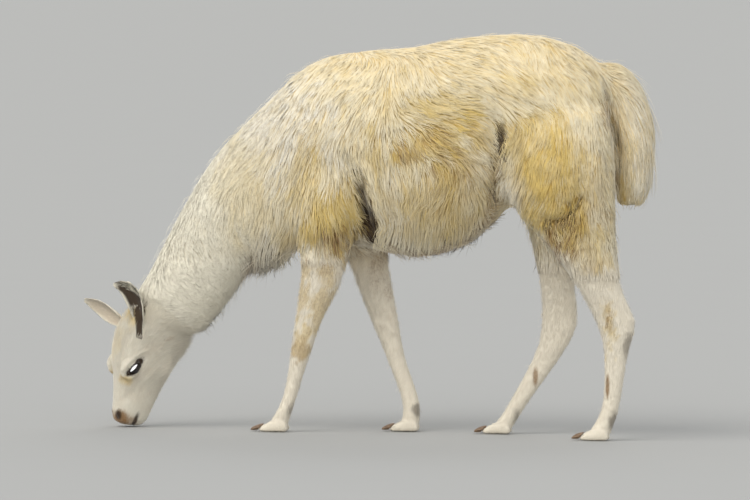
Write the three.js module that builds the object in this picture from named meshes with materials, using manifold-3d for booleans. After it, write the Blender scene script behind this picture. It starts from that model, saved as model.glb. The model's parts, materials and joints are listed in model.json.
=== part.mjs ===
// A grazing llama at life size, standing on four feet with its lips just off the ground.
// Millimetres, +Z up. The body lies along X with the head at -X, and the animal's left side faces -Y.
// Every fleshy form is a loft through stations. A station is one slice of the animal: two points of its side
// outline, half its width, and where needed the Y of its middle. The lofts are joined whole and then parted
// again by thin cuts, so the pieces meet without overlap.
import * as THREE from "three";
import { mergeVertices } from "three/addons/utils/BufferGeometryUtils.js";
import Module from "manifold-3d";

const wasm = await Module();
wasm.setup();

// ---------------------------------------------------------------- driving sizes
const CUT = 0.5; // width of the gap between neighbouring pieces
const BIG = 2000; // reach of a cutter past the body
const SOLE = 0; // level of the floor
const HEAD_TURN = THREE.MathUtils.degToRad(32); // the face turned towards the animal's left
const HEAD_TILT = THREE.MathUtils.degToRad(12); // the lips ahead of the poll
const HEAD_PLACE = [-717, 0, 21]; // the middle of the mouth
const HEAD_PIVOT = 60; // how far behind the head's axis the turn is made
const EYE_RADIUS = 21;
const EYE = { ahead: 59, side: 52, up: 162 }; // centre of an eyeball on the upright head
const LIDS = { length: 26, height: 13, depth: 13, slant: 0.57 };
const TOE_LENGTH = 88;
const TOE_HALF_WIDTH = 18;
const TOE_HEIGHT = 41;
const TOE_SPREAD = THREE.MathUtils.degToRad(6);
const NAIL_LENGTH = 40;
const NAIL_OVERHANG = 23; // how far a nail reaches past its toe
const EAR_WALL = 4.5;

const COLOURS = {
  fleece: 0xe6dcc4,
  face: 0xe4dccf,
  shortCoat: 0xe2d8c8,
  ear: 0xcbbfb2,
  eye: 0x0c0a09,
  nail: 0x8a6644,
};

// ---------------------------------------------------------------- stations of the body
// back and belly are [x, z] on the outline of the coat; half is half the width.
const TRUNK = [
  { back: [726, 1000], belly: [718, 850], half: 40 },
  { back: [712, 1080], belly: [698, 756], half: 116 },
  { back: [664, 1134], belly: [650, 712], half: 160 },
  { back: [590, 1180], belly: [570, 700], half: 188 },
  { back: [490, 1203], belly: [478, 698], half: 200 },
  { back: [410, 1206], belly: [408, 678], half: 196 },
  { back: [320, 1199], belly: [336, 598], half: 206 },
  { back: [220, 1184], belly: [228, 542], half: 222 },
  { back: [110, 1160], belly: [120, 529], half: 222 },
  { back: [10, 1152], belly: [16, 548], half: 200 },
  { back: [-80, 1140], belly: [-90, 566], half: 186 },
  { back: [-160, 1120], belly: [-186, 560], half: 174 },
  { back: [-235, 1070], belly: [-256, 516], half: 156 },
];
const NECK = [
  { back: [-312, 994], belly: [-318, 506], half: 138 },
  { back: [-384, 921], belly: [-364, 482], half: 121 },
  { back: [-450, 852], belly: [-397, 432], half: 107 },
  { back: [-512, 766], belly: [-432, 382], half: 98 },
  { back: [-566, 672], belly: [-464, 338], half: 91, y: -3 },
  { back: [-611, 582], belly: [-492, 302], half: 85, y: -9 },
  { back: [-650, 500], belly: [-520, 282], half: 79, y: -18 },
  { back: [-685, 434], belly: [-556, 282], half: 70, y: -28 },
  { back: [-716, 388], belly: [-600, 300], half: 58, y: -38 },
  { back: [-728, 350], belly: [-640, 310], half: 40, y: -46 },
];
// The head stands upright here, facing -X: brow and jaw are [x, z] from the middle of the mouth.
// bias makes a slice wider at the brow than at the jaw.
const HEAD = [
  { brow: [-48, 370], jaw: [70, 366], half: 38, bias: 0 },
  { brow: [-88, 346], jaw: [112, 326], half: 56, bias: 0 },
  { brow: [-108, 304], jaw: [128, 284], half: 65, bias: 0.06 },
  { brow: [-118, 262], jaw: [121, 246], half: 69, bias: 0.1 },
  { brow: [-116, 219], jaw: [106, 208], half: 69, bias: 0.14 },
  { brow: [-108, 180], jaw: [92, 172], half: 65, bias: 0.16 },
  { brow: [-98, 146], jaw: [80, 138], half: 59, bias: 0.14 },
  { brow: [-88, 112], jaw: [70, 108], half: 51, bias: 0.08 },
  { brow: [-80, 78], jaw: [60, 78], half: 46, bias: 0.02 },
  { brow: [-74, 48], jaw: [53, 50], half: 44, bias: 0 },
  { brow: [-69, 20], jaw: [47, 22], half: 42, bias: 0 },
  { brow: [-63, 0], jaw: [39, 2], half: 37, bias: 0 },
  { brow: [-54, -11], jaw: [28, -8], half: 29, bias: 0 },
  { brow: [-38, -16], jaw: [12, -14], half: 17, bias: 0 },
];
const TAIL = [
  { back: [640, 1122], belly: [640, 1052], half: 30 },
  { back: [694, 1130], belly: [676, 1030], half: 42 },
  { back: [752, 1125], belly: [700, 1000], half: 50 },
  { back: [802, 1070], belly: [714, 944], half: 56 },
  { back: [838, 990], belly: [724, 884], half: 60 },
  { back: [854, 900], belly: [729, 834], half: 62 },
  { back: [852, 822], belly: [730, 784], half: 60 },
  { back: [842, 750], belly: [732, 738], half: 54 },
  { back: [820, 704], belly: [742, 698], half: 38 },
];

// ---------------------------------------------------------------- stations of the legs
// fore and aft are [x, z] on the front and the back of the leg; y is how far its middle is from the midline.
const LEGS = {
  foreleg_left: {
    side: -1,
    heel: -226,
    foot: 84,
    stations: [
      { fore: [-180, 850], aft: [-70, 850], y: 100, half: 40 },
      { fore: [-212, 760], aft: [-34, 750], y: 116, half: 74 },
      { fore: [-216, 670], aft: [-24, 664], y: 118, half: 82 },
      { fore: [-212, 596], aft: [-34, 590], y: 110, half: 70 },
      { fore: [-202, 540], aft: [-50, 536], y: 98, half: 54 },
      { fore: [-201, 478], aft: [-60, 468], y: 94, half: 46 },
      { fore: [-206, 412], aft: [-90, 406], y: 92, half: 40 },
      { fore: [-213, 348], aft: [-122, 346], y: 90, half: 36 },
      { fore: [-220, 290], aft: [-143, 290], y: 88, half: 34 },
      { fore: [-225, 246], aft: [-156, 250], y: 87, half: 32 },
      { fore: [-230, 196], aft: [-173, 200], y: 86, half: 27 },
      { fore: [-238, 144], aft: [-187, 152], y: 85, half: 25 },
      { fore: [-249, 98], aft: [-199, 108], y: 84, half: 27 },
      { fore: [-263, 64], aft: [-211, 74], y: 84, half: 31 },
      { fore: [-277, 42], aft: [-220, 44], y: 84, half: 33 },
      { fore: [-286, 22], aft: [-228, 18], y: 84, half: 32 },
    ],
  },
  foreleg_right: {
    side: 1,
    heel: 149,
    foot: 84,
    stations: [
      { fore: [-180, 850], aft: [-70, 850], y: 100, half: 40 },
      { fore: [-192, 760], aft: [-16, 750], y: 116, half: 74 },
      { fore: [-172, 670], aft: [14, 664], y: 118, half: 82 },
      { fore: [-134, 594], aft: [34, 596], y: 110, half: 68 },
      { fore: [-98, 538], aft: [46, 548], y: 98, half: 52 },
      { fore: [-70, 476], aft: [55, 482], y: 94, half: 45 },
      { fore: [-42, 410], aft: [68, 414], y: 92, half: 39 },
      { fore: [-12, 344], aft: [80, 350], y: 90, half: 35 },
      { fore: [8, 300], aft: [88, 302], y: 88, half: 34 },
      { fore: [30, 252], aft: [96, 256], y: 87, half: 31 },
      { fore: [52, 200], aft: [110, 204], y: 86, half: 26 },
      { fore: [74, 146], aft: [130, 152], y: 85, half: 25 },
      { fore: [90, 104], aft: [146, 106], y: 84, half: 27 },
      { fore: [96, 72], aft: [152, 74], y: 84, half: 31 },
      { fore: [96, 44], aft: [153, 44], y: 84, half: 33 },
      { fore: [88, 22], aft: [148, 18], y: 84, half: 32 },
    ],
  },
  hindleg_left: {
    side: -1,
    heel: 740,
    foot: 92,
    stations: [
      { fore: [486, 1062], aft: [664, 1052], y: 70, half: 62 },
      { fore: [416, 968], aft: [724, 968], y: 106, half: 92 },
      { fore: [404, 880], aft: [742, 888], y: 116, half: 102 },
      { fore: [404, 790], aft: [750, 806], y: 119, half: 101 },
      { fore: [428, 694], aft: [751, 716], y: 117, half: 89 },
      { fore: [506, 622], aft: [752, 640], y: 112, half: 73 },
      { fore: [574, 540], aft: [758, 562], y: 107, half: 58 },
      { fore: [622, 470], aft: [767, 488], y: 103, half: 45 },
      { fore: [664, 402], aft: [792, 418], y: 100, half: 38 },
      { fore: [694, 346], aft: [817, 360], y: 98, half: 35 },
      { fore: [712, 298], aft: [811, 316], y: 97, half: 34 },
      { fore: [718, 252], aft: [795, 264], y: 96, half: 29 },
      { fore: [720, 204], aft: [787, 210], y: 95, half: 26 },
      { fore: [719, 148], aft: [779, 152], y: 94, half: 25 },
      { fore: [713, 98], aft: [772, 104], y: 93, half: 28 },
      { fore: [702, 66], aft: [764, 72], y: 92, half: 31 },
      { fore: [688, 42], aft: [753, 44], y: 92, half: 33 },
      { fore: [678, 22], aft: [744, 18], y: 92, half: 32 },
    ],
  },
  hindleg_right: {
    side: 1,
    heel: 428,
    foot: 84,
    stations: [
      { fore: [486, 1062], aft: [664, 1052], y: 70, half: 62 },
      { fore: [408, 968], aft: [716, 968], y: 106, half: 92 },
      { fore: [396, 880], aft: [726, 888], y: 116, half: 102 },
      { fore: [402, 790], aft: [714, 806], y: 119, half: 101 },
      { fore: [428, 704], aft: [686, 716], y: 116, half: 88 },
      { fore: [456, 636], aft: [654, 640], y: 108, half: 70 },
      { fore: [475, 572], aft: [634, 576], y: 100, half: 56 },
      { fore: [489, 508], aft: [622, 512], y: 95, half: 45 },
      { fore: [502, 440], aft: [618, 446], y: 92, half: 38 },
      { fore: [508, 374], aft: [624, 382], y: 90, half: 35 },
      { fore: [508, 316], aft: [622, 322], y: 89, half: 34 },
      { fore: [500, 266], aft: [595, 268], y: 88, half: 30 },
      { fore: [476, 208], aft: [556, 208], y: 87, half: 26 },
      { fore: [446, 150], aft: [514, 146], y: 86, half: 25 },
      { fore: [422, 104], aft: [482, 100], y: 85, half: 28 },
      { fore: [404, 70], aft: [458, 62], y: 84, half: 31 },
      { fore: [386, 44], aft: [442, 36], y: 84, half: 33 },
      { fore: [370, 24], aft: [430, 16], y: 84, half: 32 },
    ],
  },
};

// spine is a bent line of three points; opening is where the hollow of the ear looks.
const EARS = {
  ear_left: { spine: [[-674, -100, 296], [-684, -118, 436], [-758, -126, 431]], opening: [-0.35, -0.93, 0.1] },
  ear_right: { spine: [[-731, -30, 308], [-792, 0, 346], [-868, 12, 376]], opening: [-0.4, -0.8, -0.3] },
};
const EAR_HALF_WIDTHS = [13, 20, 26, 29, 29, 25, 18, 8];

// ---------------------------------------------------------------- lofting
const RINGS = { body: 32, head: 18, leg: 20, toe: 6, tail: 14, nail: 4, ear: 8 };
const POINTS = { body: 22, head: 20, leg: 12, toe: 10, tail: 12, nail: 6, ear: 5, ball: 12 };

/** A closed mesh as a manifold solid, turned inside out if its faces point inwards. */
function solidOf(geometry) {
  const bare = geometry.clone();
  bare.deleteAttribute("normal");
  bare.deleteAttribute("uv");
  const merged = mergeVertices(bare, 1e-3);
  const vertProperties = merged.attributes.position.array;
  const build = (triVerts) => new wasm.Manifold(new wasm.Mesh({ numProp: 3, vertProperties, triVerts }));
  const made = build(new Uint32Array(merged.index.array));
  return made.volume() > 0 ? made : build(new Uint32Array(merged.index.array).reverse());
}

/** Skins a row of rings, each a loop of the same number of points, and closes both ends. */
function skinRings(rings) {
  const count = rings[0].length;
  const index = [];
  const quad = (a, b, c, d) => index.push(a, b, c, a, c, d);
  for (let r = 0; r + 1 < rings.length; r++) {
    for (let i = 0; i < count; i++) {
      const next = (i + 1) % count;
      quad(r * count + i, r * count + next, (r + 1) * count + next, (r + 1) * count + i);
    }
  }
  // An end is closed by strips that run across the loop, so a hollow, crescent loop closes too.
  const closeEnd = (start, forwards) => {
    for (let i = 0; i < count / 2 - 1; i++) {
      const strip = [start + i, start + i + 1, start + count - 2 - i, start + count - 1 - i];
      quad(...(forwards ? strip : strip.reverse()));
    }
  };
  closeEnd(0, false);
  closeEnd((rings.length - 1) * count, true);
  const geometry = new THREE.BufferGeometry().setFromPoints(rings.flat());
  geometry.setIndex(index);
  return geometry;
}

/** A smooth run through three numbers taken from each station. */
function track(stations, triple) {
  return new THREE.CatmullRomCurve3(stations.map((s) => new THREE.Vector3(...triple(s))));
}

/**
 * Lofts stations into a closed geometry. `ends` names the two outline points of a station, `grow` swells every
 * slice, `square` above 2 makes slices boxier, and nothing reaches below `floor`.
 */
function loft(stations, ends, { rings, points, grow = 0, square = 2, side = 1, floor = -BIG }) {
  const [top, bottom] = ends;
  const upper = track(stations, (s) => [...s[top], 0]);
  const lower = track(stations, (s) => [...s[bottom], 0]);
  const width = track(stations, (s) => [s.half, side * (s.y ?? 0), s.bias ?? 0]);
  const boxy = (v) => Math.sign(v) * Math.abs(v) ** (2 / square);
  const loops = [];
  for (let r = 0; r < rings; r++) {
    const t = r / (rings - 1);
    const [high, low, { x: half, y: middle, z: bias }] = [upper, lower, width].map((c) => c.getPoint(t));
    const reach = high.clone().sub(low).multiplyScalar(0.5);
    const centre = high.clone().add(low).multiplyScalar(0.5);
    reach.setLength(reach.length() + grow);
    const loop = [];
    for (let i = 0; i < points; i++) {
      const angle = (2 * Math.PI * (i + 0.5)) / points;
      const along = boxy(Math.cos(angle));
      const across = boxy(Math.sin(angle)) * (half + grow) * (1 + bias * along);
      const p = centre.clone().addScaledVector(reach, along);
      loop.push(new THREE.Vector3(p.x, middle + across, Math.max(floor, p.y)));
    }
    loops.push(loop);
  }
  return skinRings(loops);
}

const joined = (solids) => solids.reduce((all, one) => all.add(one));

// ---------------------------------------------------------------- cutters
/** A prism through the animal between two Y levels, with its side view given as corners in X and Z. */
function sidePrism(corners, low, high) {
  const shape = new THREE.Shape(corners.map(([x, z]) => new THREE.Vector2(x, z)));
  const geometry = new THREE.ExtrudeGeometry(shape, { depth: high - low, bevelEnabled: false });
  geometry.rotateX(Math.PI / 2);
  geometry.translate(0, high, 0);
  return solidOf(geometry);
}

/** The corners of an anticlockwise outline moved outwards, so that every edge shifts by the same distance. */
function widened(corners, distance) {
  const at = (i) => new THREE.Vector2(...corners[(i + corners.length) % corners.length]);
  const outward = (a, b) => new THREE.Vector2(b.y - a.y, a.x - b.x).normalize();
  return corners.map((_, i) => {
    const before = outward(at(i - 1), at(i));
    const after = outward(at(i), at(i + 1));
    const move = before.clone().add(after).multiplyScalar(distance / (1 + before.dot(after)));
    return at(i).add(move).toArray();
  });
}

// ---------------------------------------------------------------- head
/** From the upright head to the grazing one. */
const headPose = new THREE.Matrix4()
  .makeTranslation(...HEAD_PLACE)
  .multiply(new THREE.Matrix4().makeRotationY(HEAD_TILT))
  .multiply(new THREE.Matrix4().makeTranslation(HEAD_PIVOT, 0, 0))
  .multiply(new THREE.Matrix4().makeRotationZ(HEAD_TURN))
  .multiply(new THREE.Matrix4().makeTranslation(-HEAD_PIVOT, 0, 0));
const posed = (solid) => solid.transform(headPose.elements);

/** An egg of the given half sizes on the upright head, slanted in the side view. */
function egg(place, halves, slant, grow = 0) {
  const geometry = new THREE.SphereGeometry(1, POINTS.ball, 8);
  geometry.scale(...halves.map((half) => half + grow));
  geometry.rotateY(slant);
  geometry.translate(...place);
  return solidOf(geometry);
}

/** The skull with its orbits and cheeks, before anything is cut into it. */
function skull(grow = 0) {
  const ORBIT = [33, 20, 42];
  const CHEEK = [44, 16, 52];
  const shape = { rings: RINGS.head, points: POINTS.head, square: 2.15, grow };
  const swellings = [-1, 1].flatMap((side) => [
    egg([-EYE.ahead - 5, side * 51, EYE.up - 2], ORBIT, 0.3, grow),
    egg([34, side * 46, 186], CHEEK, 0.3, grow),
  ]);
  return joined([solidOf(loft(HEAD, ["brow", "jaw"], shape)), ...swellings]);
}

/** The head with the openings of its lids, its nostrils and its mouth. */
function makeHead() {
  const NOSTRIL = { ahead: 61, side: 22, up: 2, halves: [6, 8, 14], slant: -0.4 };
  const MOUTH = [[-4, 34], [-10, -60], [2, -60]]; // the parted lips in the side view
  const hollows = [-1, 1].flatMap((side) => [
    egg([-EYE.ahead, side * (EYE.side + EYE_RADIUS), EYE.up], [LIDS.height, LIDS.depth, LIDS.length], LIDS.slant),
    egg([-NOSTRIL.ahead, side * NOSTRIL.side, NOSTRIL.up], NOSTRIL.halves, NOSTRIL.slant),
  ]);
  return posed(skull().subtract(joined([...hollows, sidePrism(MOUTH, -90, 90)])));
}

function eyeball(side, grow = 0) {
  return posed(egg([-EYE.ahead, side * EYE.side, EYE.up], [EYE_RADIUS, EYE_RADIUS, EYE_RADIUS], 0, grow));
}

// ---------------------------------------------------------------- ears
/** One ear: a cupped leaf, rolled at its root, that bends over to a blunt tip. */
function earGeometry({ spine, opening }) {
  const middle = new THREE.QuadraticBezierCurve3(...spine.map((p) => new THREE.Vector3(...p)));
  const loops = [];
  for (let r = 0; r < RINGS.ear; r++) {
    const t = r / (RINGS.ear - 1);
    const along = middle.getTangent(t);
    const out = new THREE.Vector3(...opening);
    out.addScaledVector(along, -out.dot(along)).normalize();
    const across = new THREE.Vector3().crossVectors(along, out);
    const cup = THREE.MathUtils.lerp(1.9, 0.85, Math.min(1, 1.3 * t));
    const radius = EAR_HALF_WIDTHS[r] / Math.sin(Math.min(cup, Math.PI / 2));
    const wall = Math.min(EAR_WALL, 0.45 * radius);
    const point = (angle, reach) =>
      middle
        .getPoint(t)
        .addScaledVector(across, reach * Math.sin(angle))
        .addScaledVector(out, 0.6 * radius - reach * Math.cos(angle));
    const angles = Array.from({ length: POINTS.ear }, (_, i) => cup * ((2 * i) / (POINTS.ear - 1) - 1));
    const inside = angles.map((angle) => point(angle, radius - wall)).reverse();
    loops.push([...angles.map((angle) => point(angle, radius)), ...inside]);
  }
  return skinRings(loops);
}

// ---------------------------------------------------------------- feet
/** Moves a toe or a nail, made along -X from the heel, to its place; inner is -1 for the toe by the midline. */
function placed(geometry, leg, inner) {
  geometry.rotateZ(-leg.side * inner * TOE_SPREAD);
  geometry.translate(leg.heel, leg.side * (leg.foot + inner * (TOE_HALF_WIDTH + 1)), SOLE);
  return solidOf(geometry);
}

function toeSolid(leg, inner, grow = 0) {
  const slices = [
    { along: 0, top: 0.5, bottom: 0.1, wide: 0.6 },
    { along: 0.1, top: 0.86, bottom: -0.1, wide: 0.86 },
    { along: 0.35, top: 1, bottom: -0.12, wide: 1 },
    { along: 0.62, top: 0.82, bottom: -0.12, wide: 1 },
    { along: 0.86, top: 0.56, bottom: -0.1, wide: 0.86 },
    { along: 1, top: 0.34, bottom: 0.08, wide: 0.5 },
  ];
  const stations = slices.map(({ along, top, bottom, wide }) => ({
    back: [-TOE_LENGTH * along, TOE_HEIGHT * top],
    belly: [-TOE_LENGTH * along, TOE_HEIGHT * bottom],
    half: TOE_HALF_WIDTH * wide,
  }));
  const shape = { rings: RINGS.toe, points: POINTS.toe, square: 2.4, floor: SOLE, grow };
  return placed(loft(stations, ["back", "belly"], shape), leg, inner);
}

function nailSolid(leg, inner) {
  const tip = TOE_LENGTH + NAIL_OVERHANG;
  const slices = [
    { along: 0, top: 24, bottom: 7, half: 11 },
    { along: 0.45, top: 22, bottom: 5, half: 11.5 },
    { along: 0.8, top: 17, bottom: 4, half: 8 },
    { along: 1, top: 10, bottom: 5, half: 3 },
  ];
  const stations = slices.map(({ along, top, bottom, half }) => ({
    back: [-tip + NAIL_LENGTH * (1 - along), top],
    belly: [-tip + NAIL_LENGTH * (1 - along), bottom],
    half,
  }));
  return placed(loft(stations, ["back", "belly"], { rings: RINGS.nail, points: POINTS.nail }), leg, inner);
}

// ---------------------------------------------------------------- the whole body
const torso = (grow = 0, rearward = 0) => {
  const shape = { rings: RINGS.body, points: POINTS.body, square: 2.2, grow };
  return solidOf(loft([...TRUNK, ...NECK], ["back", "belly"], shape).translate(rearward, 0, 0));
};
const shank = (leg, grow = 0) => {
  const shape = { rings: RINGS.leg, points: POINTS.leg, square: 2.1, side: leg.side, floor: SOLE + 4, grow };
  return solidOf(loft(leg.stations, ["fore", "aft"], shape));
};
const foot = (leg, grow = 0) => joined([shank(leg, grow), toeSolid(leg, -1, grow), toeSolid(leg, 1, grow)]);

const legs = Object.values(LEGS);
const wholeBody = joined([torso(), makeHead(), ...legs.map((leg) => foot(leg))]);
const swollenLegs = legs.map((leg) => foot(leg, CUT));
const swollenBody = joined([torso(CUT), torso(CUT, CUT), posed(skull(CUT)), ...swollenLegs]);

// ---------------------------------------------------------------- parting it into pieces
// Anticlockwise outlines in X and Z. reach is the band of Y on each side that a piece takes.
const HEAD_REGION = [[-522, -200], [-522, 276], [-690, 430], [-700, BIG], [-BIG, BIG], [-BIG, -200]];
const NECK_REGION = [[-360, -200], [-360, 470], [-228, 1090], [-228, BIG], [-BIG, BIG], [-BIG, -200]];
const THIGH_REGION = {
  outline: [[430, 600], [1000, 600], [1000, 1010], [740, 1010], [520, 1002], [440, 950], [406, 880], [398, 790]],
  reach: [112, 400],
};
const LEG_REGIONS = {
  foreleg_left: [
    { outline: [[-400, -50], [0, -50], [0, 540], [-214, 540], [-222, 470], [-400, 380]], reach: [20, 400] },
  ],
  foreleg_right: [
    { outline: [[-60, -50], [250, -50], [250, 300], [52, 540], [-120, 540], [-120, 380]], reach: [20, 400] },
  ],
  hindleg_left: [
    { outline: [[500, -50], [1000, -50], [1000, 674], [425, 674]], reach: [1, 400] },
    THIGH_REGION,
  ],
  hindleg_right: [
    { outline: [[250, -50], [1000, -50], [1000, 674], [425, 674]], reach: [1, 400] },
    THIGH_REGION,
  ],
};

const parts = {};
let rest = wholeBody;

/** Takes what lies in the given prisms out of the rest of the body, leaving a thin gap all round. */
function takeOut(name, prisms) {
  const cutter = (wider) =>
    joined(prisms.map(({ outline, low, high }) => sidePrism(widened(outline, wider), low - wider, high + wider)));
  parts[name] = rest.intersect(cutter(0));
  rest = rest.subtract(cutter(CUT));
}

takeOut("head", [{ outline: HEAD_REGION, low: -BIG, high: BIG }]);
takeOut("neck", [{ outline: NECK_REGION, low: -BIG, high: BIG }]);
for (const [name, regions] of Object.entries(LEG_REGIONS)) {
  const band = ([near, far]) => (LEGS[name].side < 0 ? { low: -far, high: -near } : { low: near, high: far });
  takeOut(name, regions.map(({ outline, reach }) => ({ outline, ...band(reach) })));
}
parts.trunk = rest;

const tailShape = { rings: RINGS.tail, points: POINTS.tail };
parts.tail = solidOf(loft(TAIL, ["back", "belly"], tailShape)).subtract(swollenBody);
for (const [name, side] of [["eye_left", -1], ["eye_right", 1]]) {
  parts[name] = eyeball(side);
  parts.head = parts.head.subtract(eyeball(side, CUT));
}
for (const [name, ear] of Object.entries(EARS)) {
  parts[name] = solidOf(earGeometry(ear)).subtract(swollenBody);
}
for (const [name, leg] of Object.entries(LEGS)) {
  parts[`nail_${name}_inner`] = nailSolid(leg, -1).subtract(foot(leg, CUT));
  parts[`nail_${name}_outer`] = nailSolid(leg, 1).subtract(foot(leg, CUT));
}

// ---------------------------------------------------------------- the finished group
const finish = (color, roughness) => new THREE.MeshStandardMaterial({ color, roughness, metalness: 0 });
const FINISHES = [
  [/^head/, COLOURS.face, 0.85],
  [/^ear/, COLOURS.ear, 0.85],
  [/^eye/, COLOURS.eye, 0.05],
  [/^nail/, COLOURS.nail, 0.5],
  [/^(foreleg|hindleg)/, COLOURS.shortCoat, 0.88],
  [/./, COLOURS.fleece, 0.95],
];

/** A named mesh of a manifold solid, in the finish of its kind. */
function meshOf(name, solid) {
  const { vertProperties, triVerts } = solid.getMesh();
  const geometry = new THREE.BufferGeometry();
  geometry.setAttribute("position", new THREE.BufferAttribute(vertProperties, 3));
  geometry.setIndex(new THREE.BufferAttribute(triVerts, 1));
  geometry.computeVertexNormals();
  const [, colour, roughness] = FINISHES.find(([pattern]) => pattern.test(name));
  const mesh = new THREE.Mesh(geometry, finish(colour, roughness));
  mesh.name = name;
  return mesh;
}

const llama = new THREE.Group();
for (const [name, solid] of Object.entries(parts)) llama.add(meshOf(name, solid));

// The origin is on the floor, under the middle of the animal's own box.
const box = new THREE.Box3().setFromObject(llama, true);
const middle = box.getCenter(new THREE.Vector3());
llama.position.set(-middle.x, -middle.y, -box.min.z);

export default llama;
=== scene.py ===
"""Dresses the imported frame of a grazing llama: one skin, its coat, eyes, nails, studio and camera.

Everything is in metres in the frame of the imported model: the body lies along X with the head at -X, the
animal's left side faces -Y, and the floor is at zero.
"""
import json
import logging
import math
from collections.abc import Callable
from dataclasses import dataclass, field, fields
from enum import Enum

import bmesh
import bpy
import numpy as np
from mathutils import Matrix, Vector, kdtree
from mathutils.bvhtree import BVHTree

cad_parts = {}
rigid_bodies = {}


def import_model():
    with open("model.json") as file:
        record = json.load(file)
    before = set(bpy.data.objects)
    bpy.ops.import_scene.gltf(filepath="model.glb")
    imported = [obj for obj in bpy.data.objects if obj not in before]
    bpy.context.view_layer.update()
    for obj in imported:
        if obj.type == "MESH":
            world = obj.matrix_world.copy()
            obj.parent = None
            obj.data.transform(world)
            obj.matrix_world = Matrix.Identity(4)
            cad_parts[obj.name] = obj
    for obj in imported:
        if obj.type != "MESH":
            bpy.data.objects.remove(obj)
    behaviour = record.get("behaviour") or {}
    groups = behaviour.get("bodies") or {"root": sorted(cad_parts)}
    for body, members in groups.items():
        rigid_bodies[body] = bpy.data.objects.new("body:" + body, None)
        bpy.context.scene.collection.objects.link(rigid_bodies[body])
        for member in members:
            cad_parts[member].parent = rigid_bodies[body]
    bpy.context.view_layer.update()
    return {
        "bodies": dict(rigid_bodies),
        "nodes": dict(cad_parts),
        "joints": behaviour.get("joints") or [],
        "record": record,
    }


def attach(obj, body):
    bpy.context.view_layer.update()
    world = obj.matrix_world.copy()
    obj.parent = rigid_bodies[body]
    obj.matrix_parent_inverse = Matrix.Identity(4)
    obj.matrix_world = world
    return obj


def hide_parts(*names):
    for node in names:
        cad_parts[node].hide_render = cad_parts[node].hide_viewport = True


LOG = logging.getLogger("llama")
BODY = "root"
SEED = 20
LEFT, RIGHT = -1, 1  # the signs of Y on the animal's left and right
SIDE_NAMES = {LEFT: "left", RIGHT: "right"}
HIND_X = 0.3  # legs and thighs past it are the hind ones
WELD = 1e-5  # points nearer than this are one

Array = np.ndarray
Triple = tuple[float, float, float]  # a place, a direction or a colour
Piece = bpy.types.Object


# --- Small tools for arrays of points --------------------------------------------------------------------
def span(rows: Array) -> Array:
    """Returns the length of each row."""
    return np.linalg.norm(rows, axis=-1)


def unit(rows: Array) -> Array:
    """Returns the rows scaled to length one."""
    return rows / np.maximum(span(rows)[..., None], 1e-9)


def dot(a: Array, b: Array) -> Array:
    """Returns the dot product of each pair of rows, as a column."""
    return (a * b).sum(-1, keepdims=True)


def ramp(low: float, high: float, values: Array) -> Array:
    """Returns a smooth step from 0 at low to 1 at high, which may be below low."""
    t = np.clip((values - low) / (high - low), 0.0, 1.0)
    return t * t * (3.0 - 2.0 * t)


def bell(gap: Array, width: float) -> Array:
    """Returns 1 where the gap is 0 and nearly 0 past twice the width."""
    return np.exp(-((gap / width) ** 2))


def folded(points: Array) -> Array:
    """Returns the points with Y as the distance from the midline, so that both sides are alike."""
    laid = points.copy()
    laid[:, 1] = np.abs(laid[:, 1])
    return laid


def beside(points: Array, line: tuple[Triple, ...]) -> tuple[Array, Array, Array, float]:
    """Measures points against a line.

    Args:
        points: rows of X, Y, Z.
        line: the line's corners.

    Returns:
        How far each point is from the line, how far along it that is, the way from the line to the point,
        and how long the line is.
    """
    corners = np.array(line)
    lengths = span(np.diff(corners, axis=0))
    starts = np.concatenate([[0], np.cumsum(lengths)])
    best, along, off = np.full(len(points), np.inf), np.zeros(len(points)), np.zeros_like(points)
    for a, b, start, length in zip(corners[:-1], corners[1:], starts, lengths):
        t = np.clip((points - a) @ (b - a) / ((b - a) @ (b - a)), 0.0, 1.0)
        away = points - a - t[:, None] * (b - a)
        gap = span(away)
        nearer = gap < best
        best = np.where(nearer, gap, best)
        along = np.where(nearer, start + t * length, along)
        off[nearer] = away[nearer]
    return best, along, off, starts[-1]


class Noise:
    """Smooth seeded noise in space, from -1 to 1."""

    SIZE = 32

    def __init__(self, seed: int) -> None:
        """Fills the lattice from the seed."""
        self.lattice = np.random.default_rng(seed).uniform(-1.0, 1.0, (self.SIZE,) * 3)

    def __call__(self, points: Array, scale: float) -> Array:
        """Returns one number for each point; scale is the size of one swelling, in metres."""
        q = points / scale + 0.5 * self.SIZE
        whole = np.floor(q).astype(int)
        part = q - whole
        part = part * part * (3.0 - 2.0 * part)
        total = np.zeros(len(points))
        for corner in np.ndindex(2, 2, 2):
            share = np.prod([p if c else 1.0 - p for c, p in zip(corner, part.T)], axis=0)
            at = (whole + corner) % self.SIZE
            total += share * self.lattice[at[:, 0], at[:, 1], at[:, 2]]
        return total


@dataclass(frozen=True)
class HeadPose:
    """Where the upright head goes. The upright head faces -X, with the middle of its mouth at the origin."""

    mouth: Triple = (-0.7082, 0.0, 0.021)
    tilt: float = math.radians(12)
    turn: float = math.radians(32)
    pivot: float = 0.060

    @property
    def matrix(self) -> Matrix:
        """The move from the upright head to the grazing one."""
        to_pivot = Matrix.Translation((self.pivot, 0, 0))
        turned = to_pivot @ Matrix.Rotation(self.turn, 4, "Z") @ to_pivot.inverted()
        return Matrix.Translation(self.mouth) @ Matrix.Rotation(self.tilt, 4, "Y") @ turned

    def turn_only(self, directions: Array) -> Array:
        """Turns rows of directions from the upright head to the model."""
        return directions @ np.array(self.matrix)[:3, :3].T

    def place(self, points: Array) -> Array:
        """Moves rows of points from the upright head to the model."""
        return self.turn_only(points) + np.array(self.matrix)[:3, 3]

    def upright(self, points: Array) -> Array:
        """Moves rows of points from the model to the upright head."""
        back = np.array(self.matrix.inverted())
        return points @ back[:3, :3].T + back[:3, 3]


HEAD = HeadPose()


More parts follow.
